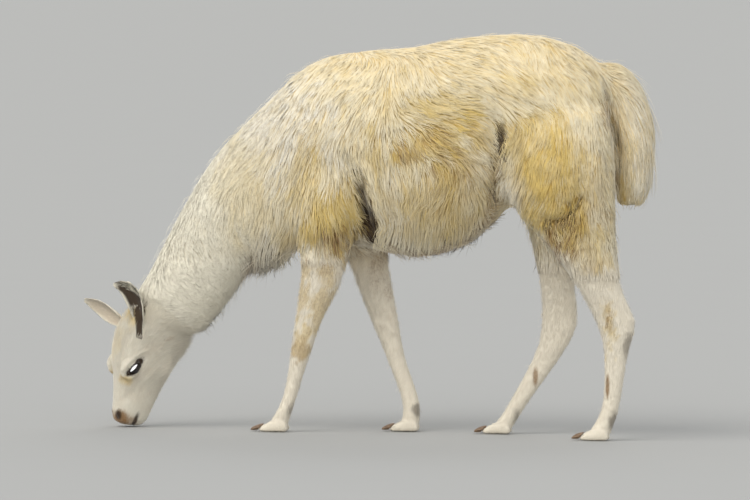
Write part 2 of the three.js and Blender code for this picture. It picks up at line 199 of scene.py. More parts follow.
@dataclass(frozen=True)
class EarShape:
    """The bent middle line of one ear and where its hollow looks."""

    root: Triple
    bend: Triple
    tip: Triple
    opening: Triple

    def point(self, t: float) -> Array:
        """A point of the middle line, for t from 0 at the root to 1 at the tip."""
        a, b, c = (np.array(p) for p in (self.root, self.bend, self.tip))
        return (1 - t) ** 2 * a + 2 * t * (1 - t) * b + t * t * c

    def tangent(self, t: float) -> Array:
        """The direction of the middle line at t."""
        a, b, c = (np.array(p) for p in (self.root, self.bend, self.tip))
        return unit((1 - t) * (b - a) + t * (c - b))


EARS = {
    side: EarShape(*places)
    for side, *places in (
        (LEFT, (-0.665, -0.1, 0.296), (-0.675, -0.118, 0.436), (-0.749, -0.126, 0.431), (-0.35, -0.93, 0.1)),
        (RIGHT, (-0.722, -0.030, 0.308), (-0.783, 0.0, 0.346), (-0.859, 0.012, 0.376), (-0.4, -0.8, -0.3)),
    )
}


def ear_gap(points: Array, ears: list[EarShape], shares: Array) -> Array:
    """Returns how far each point is from the ears, measured at some shares of their length."""
    return np.min([span(points - ear.point(t)) for ear in ears for t in shares], axis=0)


# --- The lie of the coat ---------------------------------------------------------------------------------
class Region(Enum):
    """The parts of the coat that are combed apart from each other."""

    TRUNK = 0
    NECK = 1
    THIGH = 2
    LEG = 3
    TAIL = 4
    HEAD = 5
    EAR = 6


T, N, H, L, A, F, E = Region


@dataclass(frozen=True)
class Comb:
    """How the coat lies at one place of the left side; the right side is its mirror image.

    Attributes:
        region: the part of the coat it belongs to.
        at: X, distance from the midline, and Z.
        along: where the hair points, with the middle number away from the midline.
        depth: how thick the coat is there.
        length: how long a tuft is.
        wave: how far a tuft swings from side to side.
        stand: from 0, a tuft that follows the body, to 1, one that hangs free.
    """

    region: Region
    at: Triple
    along: Triple
    depth: float
    length: float
    wave: float
    stand: float

    @classmethod
    def of(
        cls, region: Region, x: float, y: float, z: float, ahead: float, out: float, up: float,
        depth: float, length: float, wave: float = 1.5, stand: float = 10,
    ) -> "Comb":
        """Reads a row of COMB_ROWS."""
        at, along = (x / 1000, y / 1000, z / 1000), (ahead / 100, out / 100, up / 100)
        return cls(region, at, along, depth / 1000, length / 1000, wave / 1000, stand / 100)


# places, depth, length and wave are in millimetres, directions and stand in hundredths
COMB_ROWS = [
    # withers and back
    (T, -210, 20, 1080, -75, 20, -60, 7, 50, 1.5, 25), (T, -100, 20, 1130, -50, 50, -30, 7, 50, 1.5, 25),
    (T, 20, 0, 1150, 80, 40, -5, 7, 55, 1.5, 20), (T, 250, 0, 1190, 100, 20, 0, 5, 55, 1.5, 12),
    (T, 480, 0, 1200, 100, 20, 0, 5, 55, 1.5, 12), (T, 680, 0, 1120, 85, 10, -50, 8, 55, 1.5, 20),
    # shoulder
    (T, -100, 100, 1050, -60, 30, -70, 9, 60), (T, 20, 130, 1060, -55, 40, -65, 9, 60),
    (T, -150, 160, 920, -45, 0, -90, 12, 65), (T, -50, 180, 920, -30, 0, -100, 12, 65),
    (T, 30, 200, 940, -15, 0, -100, 12, 65), (T, -200, 150, 780, -40, 0, -90, 30, 75, 3),
    (T, -120, 180, 770, -25, 0, -100, 30, 75, 3), (T, -60, 180, 810, 15, 0, -100, 30, 70, 3),
    (T, -20, 180, 810, 55, 0, -80, 26, 60, 3),
    # elbow fringe and chest
    (T, -80, 190, 710, 60, 0, -80, 36, 85, 6, 15), (T, -30, 180, 660, 75, 0, -65, 34, 80, 6, 20),
    (T, -130, 180, 650, -5, 0, -100, 36, 85, 6, 15), (T, -200, 150, 630, -40, 0, -90, 34, 80, 5, 15),
    (T, -80, 170, 590, 25, 0, -100, 38, 85, 7, 35), (T, -180, 140, 580, -20, 0, -100, 34, 70, 6, 30),
    (T, -280, 100, 720, -30, 0, -95, 28, 80, 2, 20), (T, -280, 60, 570, -5, 0, -100, 30, 110, 2, 60),
    (T, -280, 0, 530, 5, 0, -100, 30, 110, 2, 70), (T, -120, 40, 600, 30, 20, -80, 18, 40, 2, 30),
    # barrel
    (T, 120, 170, 1070, 30, 30, -80, 10, 65), (T, 280, 150, 1100, 90, 20, -30, 8, 65),
    (T, 420, 150, 1100, 80, 20, -50, 8, 60), (T, 160, 200, 990, 95, 0, -20, 30, 75, 3),
    (T, 280, 200, 1000, 95, 0, -25, 30, 75, 3), (T, 400, 180, 1000, 80, 0, -55, 26, 65, 2),
    (T, 220, 210, 910, 85, 0, -45, 34, 80, 9), (T, 340, 200, 900, 80, 0, -60, 32, 80, 4),
    (T, 120, 210, 890, 50, 0, -80, 34, 75, 10), (T, 60, 200, 850, 10, 0, -100, 28, 70, 3),
    (T, 370, 190, 750, 45, 0, -90, 32, 80, 4, 15), (T, 100, 200, 790, 45, 0, -90, 34, 80, 4),
    (T, 180, 220, 770, 0, 0, -100, 36, 85, 5, 15), (T, 250, 220, 740, -55, 0, -75, 36, 85, 6, 15),
    (T, 300, 200, 720, 10, 0, -100, 36, 85, 5, 20), (T, 50, 180, 700, 30, 0, -95, 30, 70, 4, 15),
    (T, 80, 170, 640, -50, 0, -85, 36, 90, 5, 35), (T, 160, 180, 640, -25, 0, -100, 36, 90, 5, 40),
    (T, 240, 180, 620, -25, 0, -100, 36, 90, 5, 40), (T, 320, 160, 630, 15, 0, -100, 34, 85, 4, 35),
    (T, 0, 50, 570, 80, 30, -30, 20, 45, 2, 20), (T, 200, 50, 540, 90, 20, -20, 22, 50, 2, 20),
    (T, 420, 60, 680, 90, 0, 20, 14, 30, 1, 10),
    # rump
    (T, 500, 100, 1170, 20, 50, -80, 8, 55), (T, 600, 80, 1140, 80, 30, -50, 8, 55),
    (T, 660, 120, 1050, 60, 20, -80, 10, 60), (T, 710, 120, 920, 30, 0, -95, 11, 60),
    # thigh
    (H, 540, 190, 1000, 20, 20, -90, 11, 65, 3), (H, 440, 190, 930, -35, 0, -95, 26, 60, 3),
    (H, 420, 180, 820, -60, 0, -80, 26, 60, 3, 15), (H, 430, 170, 730, -60, 0, -80, 26, 60, 3, 20),
    (H, 540, 210, 900, -25, 0, -100, 12, 60, 3), (H, 540, 210, 780, -35, 0, -95, 12, 60, 3),
    (H, 640, 200, 920, 30, 0, -95, 11, 60), (H, 700, 180, 800, 30, 0, -95, 11, 60),
    (H, 640, 200, 740, -10, 0, -95, 30, 55, 4), (H, 500, 180, 670, -50, 0, -85, 28, 55, 4, 20),
    (H, 600, 170, 620, 5, 0, -100, 30, 50, 11, 20), (H, 720, 160, 620, 55, 0, -85, 24, 55, 3, 30),
    (H, 750, 120, 800, 55, 0, -85, 22, 50, 2, 20), (H, 550, 30, 700, 10, 0, -100, 12, 30),
    (H, 670, 100, 530, 35, 0, -95, 16, 36, 3, 20), (H, 700, 100, 460, 30, 0, -95, 8, 22),
    (H, 550, 100, 560, 10, 0, -95, 14, 32), (H, 560, 100, 460, 10, 0, -95, 7, 22),
    # tail
    (A, 700, 30, 1100, 90, 20, -10, 18, 60), (A, 770, 20, 1110, 85, 10, -50, 20, 90),
    (A, 820, 30, 1030, 45, 0, -90, 24, 120), (A, 760, 50, 1000, 35, 0, -95, 24, 120),
    (A, 850, 30, 920, 15, 0, -100, 26, 130), (A, 780, 50, 880, 8, 0, -100, 26, 130),
    (A, 850, 30, 800, -5, 0, -100, 28, 80, 1, 20), (A, 780, 50, 760, 0, 0, -100, 28, 45, 1, 10),
    (A, 810, 40, 700, 0, 0, -100, 26, 22, 1, 10),
    # neck: crest, side and throat
    (N, -300, 20, 1000, -70, 20, -65, 14, 50, 2, 40), (N, -430, 20, 870, -65, 30, -65, 14, 48, 2, 50),
    (N, -550, 10, 680, -50, 40, -75, 22, 46, 2, 50), (N, -640, 10, 500, -30, 50, -80, 20, 42, 2, 50),
    (N, -690, 20, 410, -20, 50, -80, 16, 36, 2, 40), (N, -340, 120, 880, -55, 0, -85, 15, 60, 2),
    (N, -420, 100, 760, -40, 0, -90, 15, 58, 2), (N, -340, 120, 680, -20, 0, -100, 18, 60, 2),
    (N, -490, 100, 660, 0, 0, -100, 15, 50, 2), (N, -410, 100, 580, 45, 0, -90, 22, 50, 2),
    (N, -530, 90, 540, 40, 0, -90, 20, 44, 2), (N, -460, 100, 470, 75, 0, -65, 20, 42, 2),
    (N, -560, 90, 430, 70, 0, -65, 18, 38, 2), (N, -600, 80, 350, 100, 0, -5, 14, 32, 2),
    (N, -520, 90, 360, 100, 0, -20, 18, 36, 2), (N, -330, 30, 500, 10, 0, -100, 26, 70, 2, 50),
    (N, -420, 30, 410, 50, 0, -80, 22, 45, 2, 50), (N, -500, 20, 310, 80, 0, -50, 20, 38, 2, 50),
]
LEG_LINES = (-140, 30, 560, 730)  # X of the four legs, roughly
LEG_LEVELS = (  # height, lean, depth, length
    (560, -30, 8, 20), (480, -35, 7, 18), (400, -30, 6, 20), (300, -20, 4, 16), (200, -5, 3, 13),
    (100, -5, 4, 14), (30, -30, 2, 9),
)
# the head's own rows are on the upright head: X is backwards from the middle of the mouth, Z up
HEAD_ROWS = [
    (F, -55, 0, 0, 0, 40, 90, 0.8, 9), (F, -75, 0, 80, 0, 10, 100, 1.1, 13),
    (F, -100, 0, 170, 0, 20, 100, 2.2, 19), (F, -115, 0, 240, 0, 10, 100, 7, 24, 2, 30),
    (F, -95, 0, 320, -10, 10, 100, 12, 42, 3, 50), (F, -60, 60, 260, 20, 0, 100, 7, 20),
    (F, 0, 60, 150, 50, 0, 80, 2, 17), (F, 80, 40, 120, 60, 0, 70, 5, 20, 1, 30),
    (F, 100, 50, 240, 80, 0, 35, 9, 48, 2, 70), (F, 0, 70, 260, 60, 0, 80, 9, 26, 2),
    (F, 35, 10, 20, 60, 0, 60, 1.2, 12), (F, 0, 45, 50, 30, 0, 90, 1, 11),
    (F, -40, 55, 100, 20, 0, 100, 1.3, 13), (F, -60, 68, 160, 30, 0, 100, 0.8, 10),
]
LEG_ROWS = [(L, x, 90, z, lean, 0, -95, *coat) for x in LEG_LINES for z, lean, *coat in LEG_LEVELS]
COMBS = [Comb.of(*row) for row in COMB_ROWS + LEG_ROWS + HEAD_ROWS]


@dataclass
class Lie:
    """The lie of the coat at many points: one row or number for each."""

    along: Array
    depth: Array
    length: Array
    wave: Array
    stand: Array
    tousle: Array  # from 0 to 1, how little the hairs there agree on a direction


class Grooming:
    """Spreads the combs over the body."""

    REACH = 0.03  # inside this distance all combs count alike
    FLEECE = (T, N, H, A)
    DENSE = 0.42  # the share of the fleece's depth in which the hair is loose; below it, the wool is closed
    EAR_COAT = (0.0010, 0.013)  # depth and length on the ears
    THIN = (("depth", 0.0012), ("length", 0.012))  # the head's coat where it meets the ears
    THIN_GAP = (0.014, 0.034)  # how far from the ears it is thin, and how far it is full
    EAR_BASE = np.linspace(0.0, 0.5, 8)  # the part of an ear that this is measured from

    @classmethod
    def at(cls, points: Array, regions: Array) -> Lie:
        """Finds the lie of the coat.

        Args:
            points: places on the body.
            regions: the number of each place's region.

        Returns:
            The lie at those places.
        """
        count = len(points)
        lie = Lie(np.zeros((count, 3)), *(np.zeros(count) for _ in range(5)))
        lie.along[:, 2] = -1.0
        for region in Region:
            here = regions == region.value
            if not here.any():
                continue
            if region is E:
                lie.along[here] = cls._ear_directions(points[here])
                lie.depth[here], lie.length[here] = cls.EAR_COAT
                continue
            at = HEAD.upright(points[here]) if region is F else points[here]
            combs = [c for c in COMBS if c.region is region]
            apart = ((folded(at)[:, None, :] - np.array([c.at for c in combs])[None]) ** 2).sum(-1)
            share = 1.0 / (apart + cls.REACH**2) ** 2.5
            share /= share.sum(1, keepdims=True)
            along = share @ unit(np.array([c.along for c in combs]))
            along[:, 1] *= np.where(at[:, 1] < 0, -1.0, 1.0)
            lie.along[here] = HEAD.turn_only(along) if region is F else along
            for name in ("depth", "length", "wave", "stand"):
                getattr(lie, name)[here] = share @ np.array([getattr(c, name) for c in combs])
            if region in cls.FLEECE:
                lie.depth[here] *= cls.DENSE
            if region is F:
                full = ramp(*cls.THIN_GAP, ear_gap(points[here], list(EARS.values()), cls.EAR_BASE))
                for name, thin in cls.THIN:
                    values = getattr(lie, name)
                    values[here] = thin + (values[here] - thin) * full
        lie.along = unit(lie.along)
        return lie

    @staticmethod
    def _ear_directions(points: Array) -> Array:
        """Returns the direction from root to tip of the nearest ear."""
        best, apart = np.zeros_like(points), np.full(len(points), np.inf)
        for ear in EARS.values():
            for t in np.linspace(0.0, 1.0, 12):
                gap = span(points - ear.point(t))
                nearer = gap < apart
                apart = np.where(nearer, gap, apart)
                best[nearer] = ear.tangent(t)
        return best


# --- Creases of the fleece, markings and painted shade ---------------------------------------------------
# furrows in the fleece, in millimetres: a line of places of the left side, how wide the furrow is, how far
# skin and coat sink, and by how many hundredths the hair beside it is shorter
CREASES = (
    (((-30, 170, 800), (-5, 170, 730), (8, 160, 660), (12, 140, 600)), 16, 44, 35),
    (((400, 190, 950), (405, 180, 880), (400, 170, 800), (395, 150, 720)), 18, 19, 25),
    (((665, 200, 720), (635, 200, 675), (600, 190, 655), (545, 180, 660)), 9, 24, 80),
    (((655, 200, 755), (635, 200, 735), (625, 200, 700)), 8, 20, 80),
    (((500, 170, 645), (535, 170, 605), (560, 160, 570)), 10, 24, 70),
    (((712, 80, 1050), (728, 58, 995), (742, 45, 930), (752, 40, 850)), 7.5, 24, 70),
)


def furrows(points: Array) -> tuple[Array, Array]:
    """Returns how far the coat sinks at each point, in metres, and by what share the hair is shorter."""
    sink, short = np.zeros((2, len(points)))
    for line, width, drop, bare in CREASES:
        gap, width = beside(folded(points), np.array(line) / 1000)[0], width / 1000
        sink = np.maximum(sink, drop / 1000 * bell(gap, width))
        short = np.maximum(short, bare / 100 * ramp(3.6 * width, 1.2 * width, gap))
    return sink, short


class Ink(Enum):
    """The colours laid over the coat's cream; brown and dark also stand for painted shade in its creases and
    hollows. The value is the channel of the marks.
    """

    OCHRE = 0
    BROWN = 1
    DARK = 2
    WHITE = 3


O, B, D, W = Ink

@dataclass(frozen=True)
class Stain:
    """A soft spot of colour round one place of the left side."""

    ink: Ink
    at: Array
    radii: Array
    strength: float
    ragged: float  # how ragged its edge is
    mirrored: float  # how strong its mirror image is

    @classmethod
    def of(
        cls, ink: Ink, x: float, y: float, z: float, deep: float, wide: float, high: float,
        strength: float, ragged: float = 35, mirrored: float = 80,
    ) -> "Stain":
        """Reads a row of places and radii in millimetres and the rest in hundredths."""
        at, radii = np.array((x, y, z)) / 1000, np.array((deep, wide, high)) / 1000
        return cls(ink, at, radii, strength / 100, ragged / 100, mirrored / 100)


BODY_STAINS = [
    # shoulder and elbow fringe
    (O, -100, 180, 670, 110, 100, 120, 80, 50), (O, -160, 160, 790, 60, 100, 120, 40),
    (B, -85, 170, 640, 70, 80, 32, 85), (B, -80, 170, 600, 80, 80, 25, 60),
    (O, -190, 150, 600, 50, 80, 30, 60), (O, -360, 120, 760, 90, 80, 140, 22),
    (B, -330, 50, 520, 30, 50, 30, 60), (W, -285, 90, 590, 35, 80, 100, 70, 20),
    (W, -250, 120, 950, 170, 120, 180, 85, 60), (W, -120, 160, 930, 80, 100, 120, 60, 60),
    # barrel
    (O, 200, 200, 1000, 140, 100, 50, 50), (B, 130, 210, 895, 50, 100, 35, 65, 70),
    (B, 190, 210, 935, 50, 100, 22, 60, 70), (B, 220, 210, 870, 30, 100, 50, 50, 80),
    (O, 180, 200, 920, 130, 100, 90, 80, 60), (B, 300, 200, 830, 80, 100, 100, 30, 60),
    (O, 240, 200, 760, 180, 100, 130, 45, 60), (B, 220, 200, 740, 180, 100, 120, 14, 80),
    (W, 100, 200, 680, 80, 100, 70, 35), (W, 90, 200, 800, 30, 100, 80, 40),
    # the first: brown under the belly, partly painted shade of its underside
    (B, 160, 90, 555, 220, 140, 45, 70), (B, 360, 120, 620, 60, 120, 60, 55),
    # painted shade in the hollows behind the elbow and in front of the thigh
    (D, 10, 150, 640, 30, 80, 100, 100, 20), (D, -10, 170, 750, 12, 80, 80, 60, 30),
    (D, 402, 180, 905, 16, 80, 55, 95, 30), (B, 390, 160, 720, 30, 80, 80, 50),
    (B, 394, 170, 810, 24, 90, 90, 55, 50),
    # thigh
    (O, 510, 200, 930, 110, 100, 90, 62, 30), (O, 570, 200, 820, 120, 100, 130, 85, 25),
    (O, 580, 200, 680, 100, 100, 90, 90, 40), (W, 450, 180, 760, 50, 100, 90, 60),
    # the second: painted shade along a crease of the thigh
    (B, 560, 200, 840, 140, 100, 160, 12, 50), (B, 600, 180, 660, 70, 100, 35, 65, 80),
    # painted shade: in a crease low on the front of the thigh, and on the back of the thigh
    (B, 570, 170, 590, 60, 100, 50, 75, 90), (B, 700, 160, 760, 50, 100, 120, 22, 80),
    (O, 690, 160, 600, 50, 100, 90, 45, 70), (B, 690, 160, 580, 40, 100, 80, 22, 80),
    # tail and rump
    # the first: painted shade in the crease between tail and rump
    (B, 712, 100, 1000, 16, 60, 100, 65), (O, 770, 60, 840, 25, 60, 160, 45, 70),
    (W, 820, 40, 960, 90, 100, 240, 90, 40), (O, 440, 150, 1070, 70, 80, 50, 25, 60),
    (O, 300, 80, 1170, 450, 200, 120, 15, 50), (B, 300, 80, 1170, 480, 200, 120, 11, 30),
    # painted shade in the crease beside the tail, lower down
    (B, 735, 50, 820, 20, 60, 80, 55),
    # legs
    (B, -120, 120, 530, 80, 100, 40, 40, 80), (O, -130, 100, 440, 70, 80, 130, 40, 100),
    (B, -120, 100, 440, 70, 80, 130, 22, 100), (B, -190, 100, 270, 45, 60, 45, 40, 90),
    (O, -180, 100, 280, 45, 60, 50, 50, 90), (B, 60, 100, 360, 30, 60, 60, 40, 80),
    (B, 20, 100, 500, 30, 80, 80, 45, 50), (D, 148, 84, 65, 20, 40, 30, 75, 40),
    (D, -200, 84, 65, 18, 40, 30, 45, 40), (D, 765, 92, 60, 18, 40, 30, 60, 40),
    (D, 450, 84, 60, 18, 40, 30, 60, 40), (B, 745, 110, 360, 18, 60, 55, 55, 60),
    (O, 745, 110, 350, 24, 60, 70, 60, 70), (B, 742, 115, 163, 7, 26, 36, 80, 10),
    (B, 508, 70, 178, 9, 30, 30, 75, 10, 100), (D, 805, 100, 285, 18, 60, 30, 45, 70),
]
HEAD_STAINS = [  # on the upright head
    # the dark of the nostrils in this row and of the mouth in the next is painted shade in their openings
    (B, -48, 22, -2, 32, 26, 28, 95, 20, 100), (D, -62, 24, 6, 13, 14, 21, 100, 5, 100),
    (D, -6, 15, 0, 8, 60, 34, 95, 10, 100), (B, -18, 30, -2, 22, 30, 18, 60, 20, 100),
    (O, -85, 20, 312, 40, 50, 45, 60, 40, 100), (O, -112, 0, 220, 20, 35, 60, 20, 40, 100),
    (B, -74, 50, 123, 14, 30, 10, 40, 50, 80), (O, -68, 50, 120, 26, 30, 20, 70, 40, 80),
    # painted shadow at the base of the ear
    (B, 26, 66, 262, 14, 30, 8, 45, 60, 80),
]


class Markings:
    """Works out the colours that skin and coat carry, and the painted shade in their creases and hollows."""

    HOLLOWS = ((LEFT, D, 0.97), (RIGHT, B, 0.30))  # painted shade in the ear hollows: how strongly which ink fills which ear
    HOLLOW_REACH = {E: 0.07, F: 0.030}  # how far from the ear's middle line it may lie
    # painted shade in the creases: how dark the deepest crease is painted
    CREASE_DARK = 0.92
    CREASE_DEPTHS = (0.005, 0.022)  # painted shade: between these depths a crease is painted darker
    EDGE_SCALES = (0.035, 0.013)  # swellings of the noise that makes edges ragged, in metres
    STREAKS = (  # of ochre: how short and fine they are, their bounds along X and Z, and their strength
        (0.35, 0.022, (-0.55, -0.35), (0.45, 0.6), 0.04, 0.28, 0.32),
        (0.10, 0.007, (0.73, 0.77), (0.62, 0.70), 0.0, 0.55, 0.45),
    )
    EAR_HALF_WIDTH = 0.026
    OPEN_PART, OPENER = (0.14, 0.45), 0.012  # the part of an ear where its hollow is open, and by how much

    def __init__(self) -> None:
        """Makes the noises that break up the edges."""
        self.edge, self.streak = Noise(SEED + 1), Noise(SEED + 2)

    def at(self, points: Array, normals: Array, regions: Array, creases: Array | None = None) -> Array:
        """Reads the marks.

        Args:
            points: places on the body.
            normals: the skin's normals there.
            regions: the number of each place's region.
            creases: how far the coat sinks there, or None to work it out.

        Returns:
            Rows of four strengths, in the order of Ink.
        """
        marks = np.zeros((len(points), len(Ink)))
        broad, fine = (self.edge(points, scale) for scale in self.EDGE_SCALES)
        rough = broad + 0.6 * fine
        self._add(marks, points, BODY_STAINS, rough)
        self._add(marks, HEAD.upright(points), HEAD_STAINS, rough)
        marks[regions == E.value] = 0.0
        ahead, _, height = points.T
        for short, scale, from_x, from_z, base, gain, most in self.STREAKS:
            streaks = self.streak(points * np.array([1.0, 1.0, short]), scale)
            where = ramp(*from_x, ahead) * ramp(*from_z, height)
            marks[:, 0] += where * np.clip(base + gain * streaks, 0.0, most)
        sink = furrows(points)[0] if creases is None else creases
        # the painted shade of the creases, and the dark lid rims
        for dark in (ramp(*self.CREASE_DEPTHS, sink) * self.CREASE_DARK, self._lids(points)):
            marks[:, 2] = np.maximum(marks[:, 2], dark)
        here = np.nonzero((regions == E.value) | (regions == F.value))[0]
        reach = np.where(regions[here] == E.value, self.HOLLOW_REACH[E], self.HOLLOW_REACH[F])
        for side, ink, strength in self.HOLLOWS:
            marks[here, ink.value] += strength * self._hollow(points[here], normals[here], EARS[side], reach)
        return np.clip(marks, 0.0, 1.0)

    @classmethod
    def _hollow(cls, points: Array, normals: Array, ear: EarShape, reach: Array) -> Array:
        """Returns 1 in the hollow of an ear and 0 on its rim and back, or past reach from its middle line."""
        best, inside, share = reach, np.zeros(len(points)), np.zeros(len(points))
        for t in np.linspace(0.0, 1.0, 24):
            way, out = ear.tangent(t), np.array(ear.opening)
            out = unit(out - way * (out @ way))
            aside = np.cross(way, out)
            off = points - ear.point(t)
            gap, front, looks = span(off), off @ out, normals @ out
            edge = (off @ aside) / (cls.EAR_HALF_WIDTH * math.sin(math.pi * (0.12 + 0.78 * t)))
            facing = looks - 0.9 * (normals @ aside) * np.clip(3.0 * edge, -1.0, 1.0)
            wide = cls.OPENER if cls.OPEN_PART[0] < t < cls.OPEN_PART[1] else 0.0
            ahead = ramp(-0.010, -0.006, front + wide) * ramp(-0.45, -0.20, looks)
            ahead = ahead * ramp(0.72, 0.60, np.abs(edge))
            within = np.maximum(ramp(0.0, 0.25, facing), ahead) * ramp(0.95, 0.76, np.abs(edge))
            turned = looks + 25 * wide
            close = ramp(0.016, 0.011, gap - wide) * ramp(0.15, 0.45, turned)
            on_head = reach < cls.HOLLOW_REACH[E]
            within = within * np.where(on_head, np.maximum(ramp(-0.004, 0.0, front), close), 1.0)
            nearer = gap < best
            best = np.where(nearer, gap, best)
            inside = np.where(nearer, within, inside)
            share = np.where(nearer, t, share)
        return inside * ramp(0.97, 0.82, share)

    @staticmethod
    def _add(marks: Array, points: Array, rows: list[tuple], rough: Array) -> None:
        """Adds rows of stains to the marks in place."""
        for stain in (Stain.of(*row) for row in rows):
            gap = span((folded(points) - stain.at) / stain.radii)
            share = np.where(points[:, 1] < 0, 1.0, stain.mirrored)
            mask = stain.strength * share * ramp(1.25, 0.55, gap + stain.ragged * rough)
            channel = stain.ink.value
            marks[:, channel] = np.maximum(marks[:, channel], mask)

    @staticmethod
    def _lids(points: Array) -> Array:
        """Returns the dark of the lid rims round both eyes."""
        p = folded(HEAD.upright(points))
        along, _, reach = Eye.opening_at(p)
        edge = 1.34 + 0.22 * ramp(0.010, 0.022, along)
        return ramp(0.16, 0.0, reach - edge) * ramp(0.030, 0.020, np.abs(p[:, 1] - Eye.PLACE[1] - 0.012))


# --- Surfaces that the coat grows on ---------------------------------------------------------------------
def link(name: str, data: bpy.types.ID) -> Piece:
    """Makes an object of a mesh, a light or a camera and links it to the scene."""
    made = bpy.data.objects.new(name, data)
    bpy.context.scene.collection.objects.link(made)
    return made


def to_mesh(name: str, work: bmesh.types.BMesh) -> bpy.types.Mesh:
    """Turns an edit mesh into a mesh and frees it."""
    mesh = bpy.data.meshes.new(name)
    work.to_mesh(mesh)
    work.free()
    return mesh


def welded(node: Piece) -> bmesh.types.BMesh:
    """Returns a copy of a CAD node with its faces joined."""
    work = bmesh.new()
    work.from_mesh(node.data)
    bmesh.ops.remove_doubles(work, verts=work.verts, dist=WELD)
    return work


def read_all(items: object, name: str, width: int, kind: type = np.float64) -> Array:
    """Reads one property of all items of a mesh, as rows of some width."""
    values = np.empty(len(items) * width, kind)
    items.foreach_get(name, values)
    return values.reshape(-1, width)


def write_all(items: object, name: str, values: Array, kind: type = np.float32) -> None:
    """Writes one property of all items of a mesh."""
    items.foreach_set(name, np.ascontiguousarray(values, kind).ravel())


def new_mesh(name: str, points: Array, faces: list[Array]) -> Piece:
    """Makes an object from arrays.

    Args:
        name: the piece's name.
        points: the vertices.
        faces: arrays of vertex numbers, each with rows of one length.

    Returns:
        The object, shaded smooth and linked to the scene.
    """
    mesh = bpy.data.meshes.new(name)
    mesh.vertices.add(len(points))
    write_all(mesh.vertices, "co", points)
    sizes = np.concatenate([np.full(len(f), f.shape[1], np.int32) for f in faces])
    corners = np.concatenate([f.ravel() for f in faces])
    mesh.loops.add(len(corners))
    write_all(mesh.loops, "vertex_index", corners, np.int32)
    mesh.polygons.add(len(sizes))
    write_all(mesh.polygons, "loop_start", np.concatenate([[0], np.cumsum(sizes)[:-1]]), np.int32)
    mesh.update(calc_edges=True)
    write_all(mesh.polygons, "use_smooth", np.ones(len(sizes)), bool)
    return link(name, mesh)


def set_attribute(piece: Piece, name: str, kind: str, values: Array) -> None:
    """Stores values on the points of a piece.

    Args:
        piece: the object.
        name: the attribute's name, as the finishes read it.
        kind: FLOAT_VECTOR or FLOAT_COLOR.
        values: one row for each vertex.
    """
    attribute = piece.data.attributes.new(name, kind, "POINT")
    write_all(attribute.data, {"FLOAT_VECTOR": "vector", "FLOAT_COLOR": "color"}[kind], values)


def near_tree(points: Array) -> kdtree.KDTree:
    """Returns a tree that finds the nearest of the points."""
    tree = kdtree.KDTree(len(points))
    for number, point in enumerate(points.tolist()):
        tree.insert(point, number)
    tree.balance()
    return tree


